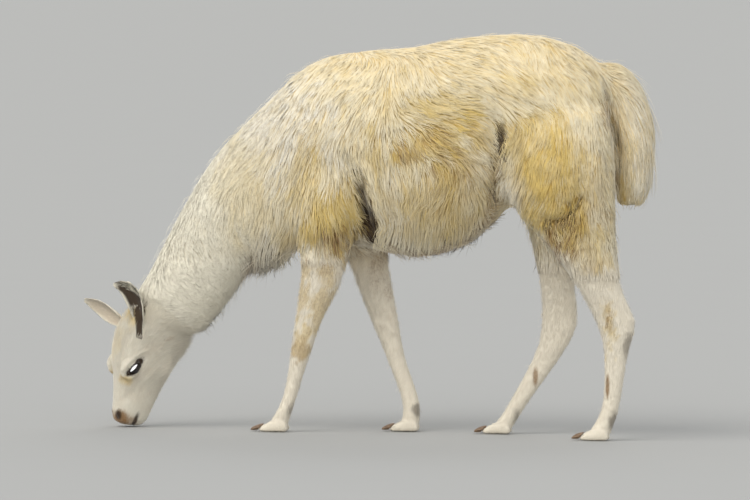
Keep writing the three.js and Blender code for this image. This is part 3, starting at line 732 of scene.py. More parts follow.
@dataclass
class Shell:
    """One closed surface of the body, with its coat's lie, before and after it sinks by the coat's depth.

    Attributes:
        nodes: the CAD nodes that it covers.
        voxel: the size of its faces.
        rounds: how often it is smoothed.
        cut: a point and a direction; what lies past that plane is left out of the cut nodes.
        cut_nodes: the nodes that are cut.
    """

    nodes: list[str]
    voxel: float
    rounds: int
    cut: tuple[tuple, tuple] = ((), ())
    cut_nodes: tuple[str, ...] = ()
    points: Array = field(init=False)
    quads: Array = field(init=False)
    edges: Array = field(init=False)
    regions: Array = field(init=False)
    lie: Lie = field(init=False)
    normals: Array = field(init=False)
    sink: Array = field(init=False)

    LOOSEN, TIGHTEN = 0.52, -0.50  # the two halves of a round of smoothing
    BLUR, MOST_ROUNDS = 0.020, 40  # how far the lie is evened out, in metres and in rounds
    LONG_COAT = (0.003, 0.008)  # between these depths the coat becomes long enough for creases

    def build(self, frame_nodes: dict) -> None:
        """Copies the nodes, joins them into one surface and takes its points."""
        work = bmesh.new()
        for name in self.nodes:
            part = welded(frame_nodes[name])
            if name in self.cut_nodes:
                self._trim(part)
            mesh = to_mesh("part", part)
            work.from_mesh(mesh)
            bpy.data.meshes.remove(mesh)
        holder = link("work", to_mesh("work", work))
        remesh = holder.modifiers.new("remesh", "REMESH")
        remesh.mode, remesh.voxel_size = "VOXEL", self.voxel
        made = holder.evaluated_get(bpy.context.evaluated_depsgraph_get()).to_mesh()
        self.points = read_all(made.vertices, "co", 3)
        self.quads = read_all(made.loops, "vertex_index", 1, np.int32).reshape(-1, 4)
        self.edges = read_all(made.edges, "vertices", 2, np.int32)
        bpy.data.objects.remove(holder)

    def _trim(self, part: bmesh.types.BMesh) -> None:
        """Cuts a part off at the cut plane and closes it."""
        place, normal = self.cut
        geometry = [*part.verts, *part.edges, *part.faces]
        made = bmesh.ops.bisect_plane(part, geom=geometry, plane_co=place, plane_no=normal, clear_outer=True)
        rim = [e for e in made["geom_cut"] if isinstance(e, bmesh.types.BMEdge)]
        bmesh.ops.holes_fill(part, edges=rim, sides=0)

    def spread(self, values: Array, rounds: int, factor: Array | float = 0.5) -> Array:
        """Averages values over neighbouring points.

        Args:
            values: rows or numbers, one for each point.
            rounds: how often.
            factor: how far a value moves to its neighbours' mean each time.

        Returns:
            The averaged values.
        """
        flat = values.reshape(len(values), -1)
        count = len(flat)
        a, b = self.edges.T
        degree = np.maximum(np.bincount(self.edges.ravel(), minlength=count), 1)[:, None]
        step = factor if np.isscalar(factor) else np.asarray(factor)[:, None]
        for _ in range(rounds):
            sums = [np.bincount(a, col[b], count) + np.bincount(b, col[a], count) for col in flat.T]
            flat = flat + step * (np.stack(sums, axis=1) / degree - flat)
        return flat.reshape(values.shape)

    def smooth(self, stiff: Array | float = 0.0) -> None:
        """Smooths the surface without shrinking it; stiff is 1 where it has to stay sharp."""
        loose = np.ones(len(self.points)) - stiff
        for _ in range(self.rounds):
            for factor in (self.LOOSEN, self.TIGHTEN):
                self.points = self.spread(self.points, 1, factor * loose)

    def point_normals(self) -> Array:
        """Returns the normal at each point."""
        p = self.points[self.quads]
        areas = 0.5 * np.cross(p[:, 2] - p[:, 0], p[:, 3] - p[:, 1])
        total = np.zeros_like(self.points)
        for corner in range(4):
            for axis in range(3):
                total[:, axis] += np.bincount(self.quads[:, corner], areas[:, axis], len(total))
        return unit(total)

    def comb(self, finder: "NodeFinder") -> None:
        """Finds the region and the lie of the coat at every point."""
        self.regions = finder.regions(self.points)
        self.normals = self.point_normals()
        lie = Grooming.at(self.points, self.regions)
        blur = int((self.BLUR / self.voxel) ** 2)
        rounds = min(blur, self.MOST_ROUNDS)
        lie.along = self.spread(lie.along, rounds)
        lie.along = lie.along - self.normals * dot(lie.along, self.normals)
        lie.tousle = ramp(0.65, 0.15, span(lie.along))
        lie.along = unit(lie.along)
        lie.depth = self.spread(lie.depth, min(2 * blur, 2 * self.MOST_ROUNDS))
        for name in ("length", "wave", "stand"):
            setattr(lie, name, self.spread(getattr(lie, name), rounds))
        self.lie = lie

    def match(self, other: "Shell", share: Array) -> None:
        """Takes over another shell's lie, so that the two meet at one level.

        Args:
            other: the shell to follow.
            share: how much each point follows it.
        """
        here = np.nonzero(share > 0)[0]
        tree = near_tree(other.points)
        nearest = np.array([tree.find(p)[1] for p in self.points[here].tolist()])
        for entry in fields(Lie):
            mine, theirs = getattr(self.lie, entry.name), getattr(other.lie, entry.name)
            part = share[here].reshape((-1,) + (1,) * (mine.ndim - 1))
            mine[here] = mine[here] * (1 - part) + theirs[nearest] * part

    def sink_in(self, extra: Array) -> None:
        """Sinks the surface by the coat's depth, the creases and something extra."""
        soft = ramp(*self.LONG_COAT, self.lie.depth)
        self.sink = furrows(self.points)[0] * soft
        self.points = self.points - self.normals * (self.lie.depth + self.sink + extra)[:, None]
        self.points = self.spread(self.points, 3, 0.4 * soft)
        self.normals = self.point_normals()


class NodeFinder:
    """Finds which region of the coat a point of the body belongs to."""

    THIGH_LEVEL = 0.50
    STARTS = {"neck": N, "hindleg": H, "foreleg": L, "tail": A, "head": F, "ear": E}

    def __init__(self, frame_nodes: dict, names: list[str]) -> None:
        """Gathers the triangles of the CAD nodes."""
        points, triangles, labels = [], [], []
        for name in names:
            mesh = frame_nodes[name].data
            mesh.calc_loop_triangles()
            start = len(points)
            points += [tuple(v.co) for v in mesh.vertices]
            triangles += [tuple(start + i for i in t.vertices) for t in mesh.loop_triangles]
            region = self.STARTS.get(name.split("_")[0], T)
            labels += [region.value] * len(mesh.loop_triangles)
        self.labels = np.array(labels)
        self.tree = BVHTree.FromPolygons(points, triangles)

    def regions(self, points: Array) -> Array:
        """Returns the number of the region of each point."""
        hits = [self.tree.find_nearest(p)[2] for p in points.tolist()]
        found = self.labels[np.array(hits)]
        low = (found == H.value) & (points[:, 2] < self.THIGH_LEVEL)
        return np.where(low, L.value, found)


class Skin:
    """The one skin of the llama: a coarse shell under the fleece and fine ones where the coat is short."""

    FLEECE_VOXEL, HEAD_VOXEL, LEG_VOXEL = 0.008, 0.0025, 0.0038
    TUCK = 0.0035  # how far one shell dives under the next
    DIVE = 0.007  # how much deeper it goes after that
    LEG_JOIN = (0.44, 0.50)  # heights between which the leg shells dive under the fleece
    LEG_CUT = 0.56  # the height at which the leg shells end
    LEG_MATCH = (0.38, 0.46)  # heights between which the legs take over the fleece's lie
    NECK_JOIN = (0.05, 0.08)  # how far up the neck the head's shell dives
    NECK_MATCH = (-0.01, 0.05)  # how far up the neck the head takes over the fleece's lie
    NECK_CUT = 0.15  # how far up the neck the head's shell ends
    NARROWED = 0.45  # how much narrower the leg shells are there
    CHEST_X, NECK_X = -0.34, -0.45  # no leg lies before the first, and no head behind the second
    NECK_PLACE = np.array((-0.63, -0.04, 0.36))
    NECK_WAY = unit(np.array((0.55, 0.0, 0.83)))
    LEGS = ("foreleg_left", "foreleg_right", "hindleg_left", "hindleg_right")

    def __init__(self, frame_nodes: dict) -> None:
        """Builds, combs and sinks the shells."""
        self.names = ["head", "neck", "trunk", "tail", "ear_left", "ear_right", *self.LEGS]
        self.finder = NodeFinder(frame_nodes, self.names)
        quick = 1.0
        neck_cut = (tuple(self.NECK_PLACE + self.NECK_WAY * self.NECK_CUT), tuple(self.NECK_WAY))
        leg_cut = ((0.0, 0.0, self.LEG_CUT), (0.0, 0.0, 1.0))
        head_nodes = ["head", "ear_left", "ear_right", "neck"]
        fleece = Shell(["neck", "trunk", "tail", *self.LEGS], self.FLEECE_VOXEL * quick, 12)
        head = Shell(head_nodes, self.HEAD_VOXEL * quick, 16, neck_cut, ("neck",))
        legs = Shell(list(self.LEGS), self.LEG_VOXEL * quick, 20, leg_cut, self.LEGS)
        self.fleece, self.head, self.legs = self.shells = (fleece, head, legs)
        for shell in self.shells:
            shell.build(frame_nodes)
            shell.smooth(Face.stiffness(shell.points) if shell is head else 0.0)
            if shell is head:
                Face.sculpt(shell)
            if shell is legs:
                self._narrow_tops(shell)
            shell.comb(self.finder)
        head.match(fleece, ramp(*self.NECK_MATCH, self.along_neck(head.points)))
        legs.match(fleece, ramp(*self.LEG_MATCH, legs.points[:, 2]))
        fleece.sink_in(self.TUCK * self.short_coat(fleece.points))
        joins = (head, self.along_neck, self.NECK_JOIN), (legs, self.up_leg, self.LEG_JOIN)
        for shell, measure, (low, high) in joins:
            way = measure(shell.points)
            shell.sink_in(self.TUCK * ramp(low, high, way) + self.DIVE * ramp(high, 2 * high - low, way))

    def _narrow_tops(self, legs: Shell) -> None:
        """Narrows the cut tops of the legs, so that they end inside the fleece."""
        p = legs.points
        high = ramp(self.LEG_JOIN[1], self.LEG_CUT, p[:, 2])
        for rear, right in np.ndindex(2, 2):
            here = (high > 0) & ((p[:, 0] > HIND_X) == rear) & ((p[:, 1] > 0) == right)
            middle = p[here, :2].mean(0)
            p[here, :2] = middle + (p[here, :2] - middle) * (1.0 - self.NARROWED * high[here])[:, None]

    def along_neck(self, points: Array) -> Array:
        """Returns how far up the neck each point is from the head's end."""
        return (points - self.NECK_PLACE) @ self.NECK_WAY

    @staticmethod
    def up_leg(points: Array) -> Array:
        """Returns the height of each point next to the fleece's edge, which slants on the hind legs."""
        ahead, aside, height = points.T
        middle = np.where(aside < 0, 0.70, 0.55)
        slant = np.clip(0.45 * (ahead - middle), -0.03, 0.03) * (ahead > 0.45)
        return height + slant + 0.006 * np.sin(75.0 * ahead) + 0.004 * np.sin(110.0 * aside)

    def short_coat(self, points: Array) -> Array:
        """Returns 1 where a fine shell shows and 0 where the coarse one does."""
        by_leg = ramp(*self.LEG_JOIN[::-1], self.up_leg(points)) * (points[:, 0] > self.CHEST_X)
        by_neck = ramp(*self.NECK_JOIN[::-1], self.along_neck(points)) * (points[:, 0] < self.NECK_X)
        return np.maximum(by_leg, by_neck)

    def shows(self, shell: Shell) -> Array:
        """Returns which faces of a shell show in the joined skin."""
        middle = shell.points[shell.quads].mean(1)
        if shell is self.fleece:
            return self.short_coat(middle) < 0.5
        if shell is self.head:
            return self.along_neck(middle) < sum(self.NECK_JOIN) / 2
        return self.up_leg(middle) < sum(self.LEG_JOIN) / 2

    def joined(self) -> Piece:
        """Joins the shells into one closed mesh."""
        names = ("skin", "head_shell", "leg_shell")
        base, *others = (new_mesh(name, s.points, [s.quads]) for name, s in zip(names, self.shells))
        for other in others:
            union = base.modifiers.new("union", "BOOLEAN")
            union.operation, union.object, union.solver = "UNION", other, "MANIFOLD"
            apply_modifiers(base)
            bpy.data.objects.remove(other)
        base.data.materials.clear()
        return base


def apply_modifiers(piece: Piece) -> None:
    """Applies all modifiers of a piece."""
    bpy.context.view_layer.objects.active = piece
    for modifier in list(piece.modifiers):
        bpy.ops.object.modifier_apply(modifier=modifier.name)


class Face:
    """Folds, lids, nostrils and lips of the head's skin, worked on the upright head."""

    # places on the upright head, each with the radii of the room round it
    NOSTRIL = ((-0.058, 0.022, 0.004), (0.020, 0.020, 0.024))
    MOUTH = ((-0.006, 0.0, 0.005), (0.014, 0.080, 0.040))
    CHEEK = ((0.050, 0.045, 0.140), (0.060, 0.050, 0.075))
    WING = ((-0.066, 0.027, 0.006), (0.012, 0.008, 0.018))
    LIP_PAD = ((-0.030, 0.030, -0.004), (0.014, 0.014, 0.012))
    THROAT = ((-0.665, 0.0, 0.40), (-0.60, 0.0, 0.345), (-0.535, 0.0, 0.300), (-0.470, 0.0, 0.262))
    THROAT_ROUNDS, CHEEK_ROUNDS = 160, 60  # how often the step there is smoothed
    LID_REACH = 2.6  # how far the lids go, in openings
    LID_HALF = 0.045  # the same along the opening, in metres
    LID_EDGE = 0.99  # what lies nearer than this to the opening's middle, in openings, is behind the ball
    BEHIND = 0.004  # and how far behind
    BONES = (  # ridges and hollows: height, two ends and width
        (0.0030, ((-0.030, 0.055, 0.095), (0.020, 0.066, 0.180)), 0.010),  # crest of the cheek bone
        (-0.0035, ((-0.050, 0.042, 0.070), (-0.025, 0.052, 0.110)), 0.016),  # hollow before it
        (0.0025, ((0.060, 0.030, 0.080), (0.090, 0.045, 0.190)), 0.016),  # jaw
        (-0.0030, ((-0.030, 0.070, 0.215), (-0.020, 0.068, 0.240)), 0.018),  # temple
        (0.0030, ((-0.085, 0.052, 0.235), (-0.085, 0.052, 0.170)), 0.026),  # brow
    )

    @staticmethod
    def _from(q: Array, room: tuple[Triple, Triple]) -> Array:
        """Returns the distance of each point from a place, in radii of the room round it."""
        return span((q - room[0]) / room[1])

    @classmethod
    def stiffness(cls, points: Array) -> Array:
        """Returns how sharp the surface has to stay: most at the lids, the nostrils and the mouth."""
        q = folded(HEAD.upright(points))
        eye = cls._from(q - np.array(Eye.PLACE), ((0, 0.014, 0), (0.030, 0.030, 0.038)))
        gaps = (eye, cls._from(q, cls.NOSTRIL), cls._from(q, cls.MOUTH))
        return 0.75 * np.maximum.reduce([ramp(1.2, 0.8, gap) for gap in gaps])

    @classmethod
    def sculpt(cls, shell: Shell) -> None:
        """Moves the points of the head's shell."""
        flat = shell.points * np.array((1.0, 0.0, 1.0))
        share = ramp(0.060, 0.020, beside(folded(flat), cls.THROAT)[0])
        for ear in EARS.values():
            share = share * ramp(0.030, 0.045, ear_gap(shell.points, [ear], np.linspace(0, 1, 9)))
        shell.points = shell.spread(shell.points, cls.THROAT_ROUNDS, 0.5 * share)
        gap = cls._from(folded(HEAD.upright(shell.points)), cls.CHEEK)
        shell.points = shell.spread(shell.points, cls.CHEEK_ROUNDS, 0.5 * ramp(1.15, 0.60, gap))
        normals = shell.point_normals()
        p = HEAD.upright(shell.points)
        side = np.where(p[:, 1] < 0, -1.0, 1.0)
        q = folded(p)
        lift = cls._folds(q)
        lift = lift + sum(height * bell(beside(q, ends)[0], width) for height, ends, width in cls.BONES)
        shell.points = shell.points + normals * (lift + cls._mouth(q))[:, None]
        outward = HEAD.turn_only(np.array([[0.0, 1.0, 0.0]]))[0]
        q = cls._open_lids(folded(HEAD.upright(shell.points)), (normals @ outward) * side)
        q[:, 1] *= side
        shell.points = HEAD.place(q)

    @classmethod
    def _open_lids(cls, q: Array, outward: Array) -> Array:
        """Lays lids over the eyeball, with a clean almond edge, and clears what lies between them.

        Args:
            q: points of the upright head, folded to one side.
            outward: how far each normal points away from the midline.

        Returns:
            The moved points.
        """
        along, across, reach = Eye.opening_at(q)
        depth = q[:, 1] - Eye.PLACE[1]
        near = (reach < cls.LID_REACH) & (np.abs(along) < cls.LID_HALF) & (depth > -cls.BEHIND)
        snapped = np.where((reach > 0.80) & (reach < 1.14), 1.0 + 0.03 * (reach - 0.97), reach)
        snapped = np.where((reach > 0.45) & (reach <= 0.80), 0.955 + 0.03 * (reach - 0.62), snapped)
        factor = np.where(near & (outward > 0), snapped / np.maximum(reach, 1e-6), 1.0)
        along, across, reach = along * factor, across * factor, reach * factor
        long_radius, high_radius, deep_radius = Eye.RADII
        inside = 1.0 - (along / long_radius) ** 2 - (across / high_radius) ** 2
        ball = deep_radius * np.sqrt(np.clip(inside, 0.02, 1.0))
        lid = ball + Eye.LID
        share = ramp(1.0, 2.3, reach)
        laid = np.maximum(lid * (1 - share) + depth * share, np.where(inside > 0.02, lid, -1.0))
        depth = np.where(near & (outward > 0) & (reach >= cls.LID_EDGE), laid, depth)
        depth = np.where(near & (reach < cls.LID_EDGE), np.minimum(depth, ball - cls.BEHIND), depth)
        lean, rise = math.sin(Eye.SLANT), math.cos(Eye.SLANT)
        moved = np.stack([across * rise + along * lean, depth, along * rise - across * lean], axis=1)
        return moved + np.array(Eye.PLACE)

    @staticmethod
    def _folds(q: Array) -> Array:
        """The fold above the upper lid, the brow over it and the groove under the eye."""
        _, across, reach = Eye.opening_at(q)
        fold = -0.0009 * bell(reach - 2.15, 0.22)
        brow = 0.0030 * bell(reach - 2.9, 0.50) * ramp(0.004, -0.010, across)
        bag = -0.0008 * bell(reach - 2.8, 0.25) * ramp(-0.002, 0.012, across)
        return ramp(-0.002, 0.008, q[:, 1] - Eye.PLACE[1]) * (fold + brow + bag)

    @classmethod
    def _mouth(cls, q: Array) -> Array:
        """The cleft of the upper lip, the pads of the lips and the wings of the nostrils."""
        cleft = -0.0045 * bell(q[:, 1], 0.0035) * ramp(-0.030, -0.045, q[:, 0]) * ramp(0.022, 0.004, q[:, 2])
        wing = 0.0020 * bell(cls._from(q, cls.WING) - 1.0, math.sqrt(0.18)) * ramp(0.03, 0.018, q[:, 2])
        return cleft + wing + 0.0018 * bell(cls._from(q, cls.LIP_PAD), 1.0)


# --- Tufts -----------------------------------------------------------------------------------------------
RING = np.array([math.pi / 2, math.pi * 11 / 6, math.pi * 7 / 6])  # a tuft's corners; one edge looks out
FLOOR = 0.0004  # no hair lies lower


def tuft_faces(levels: int) -> list[tuple[Array, Array]]:
    """Returns the quads, the triangles at the tip and the cap at the root of one tuft.

    Each comes as its vertex numbers and as its corners on a map of one by one.
    """
    rows, low = levels - 1, (levels - 2) / (levels - 1)
    cells = [(l, c) for l in range(levels - 2) for c in range(3)]
    last, tip = 3 * (levels - 2), 3 * (levels - 1)
    quads = [(3 * l + c, 3 * l + (c + 1) % 3, 3 * l + 3 + (c + 1) % 3, 3 * l + 3 + c) for l, c in cells]
    tips = [(last + c, last + (c + 1) % 3, tip) for c in range(3)]
    square = (0, 0), (1, 0), (1, 1), (0, 1)
    quad_map = [[((c + i) / 3, (l + j) / rows) for i, j in square] for l, c in cells]
    tip_map = [((c / 3, low), ((c + 1) / 3, low), ((c + 0.5) / 3, 1.0)) for c in range(3)]
    cap_map = [((1.0, 0.0), (0.5, 0.0), (0.0, 0.0))]
    pairs = (quads, quad_map), (tips, tip_map), ([(2, 1, 0)], cap_map)
    return [(np.array(numbers), np.array(places)) for numbers, places in pairs]


def closed_tufts(name: str, line: Array, side: Array, out: Array, wide: Array) -> tuple[Piece, list[Array]]:
    """Makes closed three-sided tufts round middle lines.

    Args:
        name: the piece's name.
        line: the lines, as tufts by levels by X, Y, Z.
        side, out: the ways across each line, as long as the tuft is flat.
        wide: half the width at each level but the last.

    Returns:
        The piece, and the way from the line to each of the three corners.
    """
    count, levels = line.shape[:2]
    ways = [math.cos(a) * side[:, :-1] + math.sin(a) * out[:, :-1] for a in RING]
    rings = np.stack([line[:, :-1] + wide * way for way in ways], 2)
    points = np.concatenate([rings.reshape(count, -1, 3), line[:, -1:]], axis=1)
    points[:, :, 2] = np.maximum(points[:, :, 2], FLOOR)
    start = (np.arange(count) * points.shape[1])[:, None, None]
    faces = [(p[None] + start).reshape(-1, p.shape[1]) for p, _ in tuft_faces(levels)]
    return new_mesh(name, points.reshape(-1, 3), faces), ways


@dataclass(frozen=True)
class Patch:
    """One piece of the coat.

    Attributes:
        name: the piece's name.
        region: where it grows.
        side: LEFT, RIGHT or 0 for both.
        tufts: how many.
        levels: points along a tuft; the last is its tip.
        width: how wide a tuft is at its widest.
        band: the lowest and highest height of the roots.
        lock: the usual distance between the locks that tufts gather in.
        gather: how much they gather, from 0 to 1.
        swirl: how much the lie wanders, next to the usual.
        soft: how much the shading follows the body instead of each tuft's own sides.
        slot: the name of a material slot; not used.
    """

    name: str
    region: Region
    side: int
    tufts: int
    levels: int
    width: float
    band: tuple[float, float] = (-1.0, 3.0)
    lock: float = 0.016
    gather: float = 0.6
    swirl: float = 1.0
    soft: float = 0.78
    slot: str = "fleece"


class UnrolledSkin:
    """Places on a flat map of the skin."""

    EDGE = 0.01
    BODY_LINE = (
        (-0.72, -0.04, 0.34), (-0.60, -0.02, 0.46), (-0.40, 0.0, 0.70), (-0.15, 0.0, 0.86), (0.80, 0.0, 0.93),
    )
    HEAD_LINE = ((-0.708, -0.01, 0.0), (-0.66, -0.02, 0.42))
    LINES = {  # the middle lines that the skin is unrolled round
        A: ((0.68, 0.0, 1.10), (0.78, 0.0, 1.02), (0.80, 0.0, 0.70)),
        F: HEAD_LINE,
        E: HEAD_LINE,
        L: ((0.0, 0.0, 0.62), (0.0, 0.0, 0.0)),
    }
    FEET = ((-0.23, 0.1), (0.11, -0.08), (0.73, -0.08), (0.42, 0.13))  # X of each foot and its leg's lean
    LEG_OUT = 0.09  # how far the legs are from the midline

    @classmethod
    def place(cls, roots: Array, region: Region) -> Array:
        """Unrolls the skin.

        Args:
            roots: places of the roots.
            region: the region that they grow in.

        Returns:
            Rows of U and V from 0 to 1.
        """
        p = roots.copy()
        column, columns = np.zeros(len(p)), 1
        if region in (L, H):
            rear, right = p[:, 0] > HIND_X, p[:, 1] > 0
            column, columns = rear * 2 + right, 4
        if region is L:
            lean = np.interp(p[:, 2], [0.0, 0.5], [0.0, 1.0])
            p[:, 0] -= np.choose(column.astype(int), [foot + way * lean for foot, way in cls.FEET])
            p[:, 1] -= np.where(right, cls.LEG_OUT, -cls.LEG_OUT)
        _, along, off, total = beside(p, cls.LINES.get(region, cls.BODY_LINE))
        up = off[:, 0] if region in (L, F, E) else off[:, 2]
        angle = np.arctan2(off[:, 1], up) / (2 * math.pi) + 0.5
        room = 1.0 - 2 * cls.EDGE
        u, v = cls.EDGE + room * along / total, (column + cls.EDGE + room * angle) / columns
        return np.stack([u, v], axis=1)


class Ground:
    """What shows of all shells, as one surface for tufts to grow on and to follow."""

    def __init__(self, skin: Skin) -> None:
        """Gathers the faces that show."""
        shells = skin.shells
        starts = np.cumsum([0] + [len(s.points) for s in shells])
        self.quads = np.concatenate([s.quads[skin.shows(s)] + start for s, start in zip(shells, starts)])
        names = ("points", "normals", "regions", "sink")
        together = (np.concatenate([getattr(s, name) for s in shells]) for name in names)
        self.points, self.normals, self.regions, self.sink = together
        self.lie = Lie(*(np.concatenate([getattr(s.lie, f.name) for s in shells]) for f in fields(Lie)))
        self.tree = BVHTree.FromPolygons(self.points.tolist(), self.quads.tolist())
        p = self.points[self.quads]
        self.middles = p.mean(1)
        self.areas = 0.5 * span(np.cross(p[:, 2] - p[:, 0], p[:, 3] - p[:, 1]))

    def faces(self, patch: Patch) -> Array:
        """Returns the numbers of the faces that a patch grows on."""
        chosen = self.regions[self.quads[:, 0]] == patch.region.value
        if patch.side:
            chosen &= self.middles[:, 1] * patch.side > 0
        chosen &= (self.middles[:, 2] >= patch.band[0]) & (self.middles[:, 2] < patch.band[1])
        return np.nonzero(chosen)[0]


class Coat:
    """Grows tufts on the ground."""

    RISE = (0.55, 1.02)  # the share of the coat's depth that tips reach
    SPLAY = 0.10  # how far single tufts turn out of the lie, in radians
    SWIRL = 0.38  # how far the lie itself wanders
    FLATNESS = 0.34
    TAPER = ([0.0, 0.3, 0.7, 1.0], [0.75, 1.0, 0.72, 0.0])  # the width along a tuft
    LOOSE = 0.04  # the share of hairs that stand off the coat
    LOOSE_RISE, LOOSE_FADE = 8.0, 400.0  # how much higher they rise, and how fast less so in a deep coat
    LOOSE_STAND, MOST_STAND = 0.5, 0.9  # how much freer they hang, and the most that any hair does
    LOOSE_GIRTH = 0.55
    WAVE_LENGTH = 0.055
    LENGTHS, GIRTHS = (0.7, 1.2), (0.7, 1.3)  # how much single tufts differ
    WANDER_SCALES, LENGTH_SCALE, PHASE_SCALE = (0.05, 0.018), 0.04, 0.03  # swellings of the noises, in metres
    ROOT_DEPTH = 0.001  # how far a root lies under the skin
    CLUMPING = 0.25  # how far apart the hairs of a lock still are at their tips
    HANG = 0.35  # how fast free hair bends down
    MAP_SIZE = 0.003  # the size of a tuft on the map

    def __init__(self, skin: Skin, markings: Markings) -> None:
        """Prepares the surface that tufts follow."""
        self.ground, self.markings = Ground(skin), markings
        self.swirl, self.patchy = Noise(SEED + 3), Noise(SEED + 4)

    def grow(self, patch: Patch, rng: np.random.Generator) -> Piece:
        """Grows one piece of the coat, with its map and its values for the finish.

        Args:
            patch: what grows where.
            rng: the source of its random draws.

        Returns:
            The piece.
        """
        ground = self.ground
        faces = ground.faces(patch)
        count = patch.tufts // 1
        areas = ground.areas[faces]
        even = (np.arange(count) + rng.random(count)) / count  # one draw in each equal share of the area
        picked = faces[np.minimum(np.searchsorted(np.cumsum(areas) / areas.sum(), even), len(faces) - 1)]
        corners = ground.quads[picked]
        u, v = rng.random(count), rng.random(count)
        weights = np.stack([(1 - u) * (1 - v), u * (1 - v), u * v, (1 - u) * v], axis=1)

        def read(values: Array) -> Array:
            """Returns the values at the roots."""
            return (values[corners] * weights.reshape(weights.shape + (1,) * (values.ndim - 1))).sum(1)

        roots, normals = read(ground.points), unit(read(ground.normals))
        depth, sink = read(ground.lie.depth), read(ground.sink)
        along = unit(read(ground.lie.along))
        broad, fine = (self.swirl(roots, scale) for scale in self.WANDER_SCALES)
        wander = self.SWIRL * patch.swirl * (broad + 0.5 * fine)
        wander += rng.normal(0.0, 1.0, count) * (self.SPLAY + 1.2 * read(ground.lie.tousle))
        across = np.cross(normals, along)
        along = unit(along * np.cos(wander)[:, None] + across * np.sin(wander)[:, None])
        length = read(ground.lie.length) * (1.0 + 0.25 * self.patchy(roots, self.LENGTH_SCALE))
        length = length * rng.uniform(*self.LENGTHS, count) * (1.0 - furrows(roots)[1])
        shares = np.linspace(0.0, 1.0, patch.levels)
        reach = rng.uniform(*self.RISE, count)
        loose = rng.random(count) < self.LOOSE
        reach = np.where(loose, reach + self.LOOSE_RISE / (1.0 + self.LOOSE_FADE * depth), reach)
        stand = np.clip(read(ground.lie.stand) + self.LOOSE_STAND * loose, 0.0, self.MOST_STAND)
        line, facing = self._follow(roots, normals, along, length, shares, reach, stand)
        phase = rng.uniform(0, 2 * math.pi, count) * 0.3 + 6.0 * self.swirl(roots, self.PHASE_SCALE)
        swing = np.sin(phase[:, None] + shares * 2 * math.pi * length[:, None] / self.WAVE_LENGTH)
        swing = swing * read(ground.lie.wave)[:, None] * shares
        line += swing[:, :, None] * np.cross(along, normals)[:, None, :]
        line, lock = self._gathered(line, patch, rng)
        marks_at = roots + normals * (depth + sink)[:, None]
        girth = 0.5 * patch.width * rng.uniform(*self.GIRTHS, count) * np.where(loose, self.LOOSE_GIRTH, 1.0)
        piece = self._mesh(patch, line, facing, girth)
        size = len(piece.data.vertices) // count
        level_of = np.tile(np.concatenate([np.repeat(shares[:-1], 3), [1.0]]), count)
        strand = np.stack([np.repeat(rng.random(count), size), np.repeat(lock, size), level_of], axis=1)
        marks = self.markings.at(marks_at, normals, np.full(count, patch.region.value), sink)
        set_attribute(piece, "strand", "FLOAT_VECTOR", strand)
        set_attribute(piece, "place", "FLOAT_VECTOR", np.repeat(marks_at, size, axis=0))
        set_attribute(piece, "marks", "FLOAT_COLOR", np.repeat(marks, size, axis=0))
        self._map(piece, UnrolledSkin.place(roots, patch.region), patch.levels)
        return piece

    def _follow(
        self, roots: Array, normals: Array, along: Array,
        length: Array, shares: Array, reach: Array, stand: Array,
    ) -> tuple[Array, Array]:
        """Lays the middle lines of the tufts over the surface.

        Args:
            roots, normals, along: where each tuft starts, the skin's normal there and the way it lies.
            length: how long it is.
            shares: the share of its length at each level.
            reach: the share of the coat's depth that its tip rises to.
            stand: how free it hangs.

        Returns:
            The lines, as tufts by levels by X, Y, Z, and the skin's normals along them.
        """
        ground = self.ground
        line, facing = np.empty((2, len(roots), len(shares), 3))
        line[:, 0], facing[:, 0] = roots - normals * self.ROOT_DEPTH, normals
        at, heading = roots, along
        down = np.array([0.0, 0.0, -1.0])
        rise = 1.0 - (1.0 - shares) ** 2
        for level in range(1, len(shares)):
            step = length * (shares[level] - shares[level - 1])
            ahead = at + heading * step[:, None]
            hits = [ground.tree.find_nearest(p) for p in ahead.tolist()]
            at = np.array([h[0] for h in hits])
            corners = ground.quads[np.array([h[2] for h in hits])]
            lift = (ground.lie.depth[corners].mean(1) * reach * rise[level])[:, None]
            out = facing[:, level] = unit(ground.normals[corners].mean(1))
            heading = unit(heading - out * dot(heading, out))
            loose = roots + normals * lift * 1.15
            loose = loose + (along * shares[level] + down * self.HANG * shares[level] ** 2) * length[:, None]
            free = (stand * shares[level])[:, None]
            line[:, level] = (at + out * lift) * (1 - free) + loose * free
        return line, facing

    @classmethod
    def _gathered(cls, line: Array, patch: Patch, rng: np.random.Generator) -> tuple[Array, Array]:
        """Draws tufts together into locks.

        Args:
            line: the middle lines.
            patch: what grows.
            rng: the source of random draws.

        Returns:
            The new lines, and one random number for each tuft that its lock shares.
        """
        roots = line[:, 0]
        count = len(roots)
        box = roots.max(0) - roots.min(0)
        room = max(box[0] * box[2], box[0] * box[1], box[1] * box[2])
        locks = max(4, min(count // 3, int(1.6 * room / patch.lock**2)))
        seeds = rng.permutation(count)[:locks]
        tree = near_tree(roots[seeds])
        nearest = seeds[np.array([tree.find(p)[1] for p in roots.tolist()])]
        shares = np.linspace(0.0, 1.0, line.shape[1])
        pull = (patch.gather * rng.uniform(0.5, 1.0, count))[:, None] * shares**1.2
        aim = line[nearest] + (roots - roots[nearest])[:, None, :] * cls.CLUMPING
        return line + pull[:, :, None] * (aim - line), rng.random(count)[nearest]

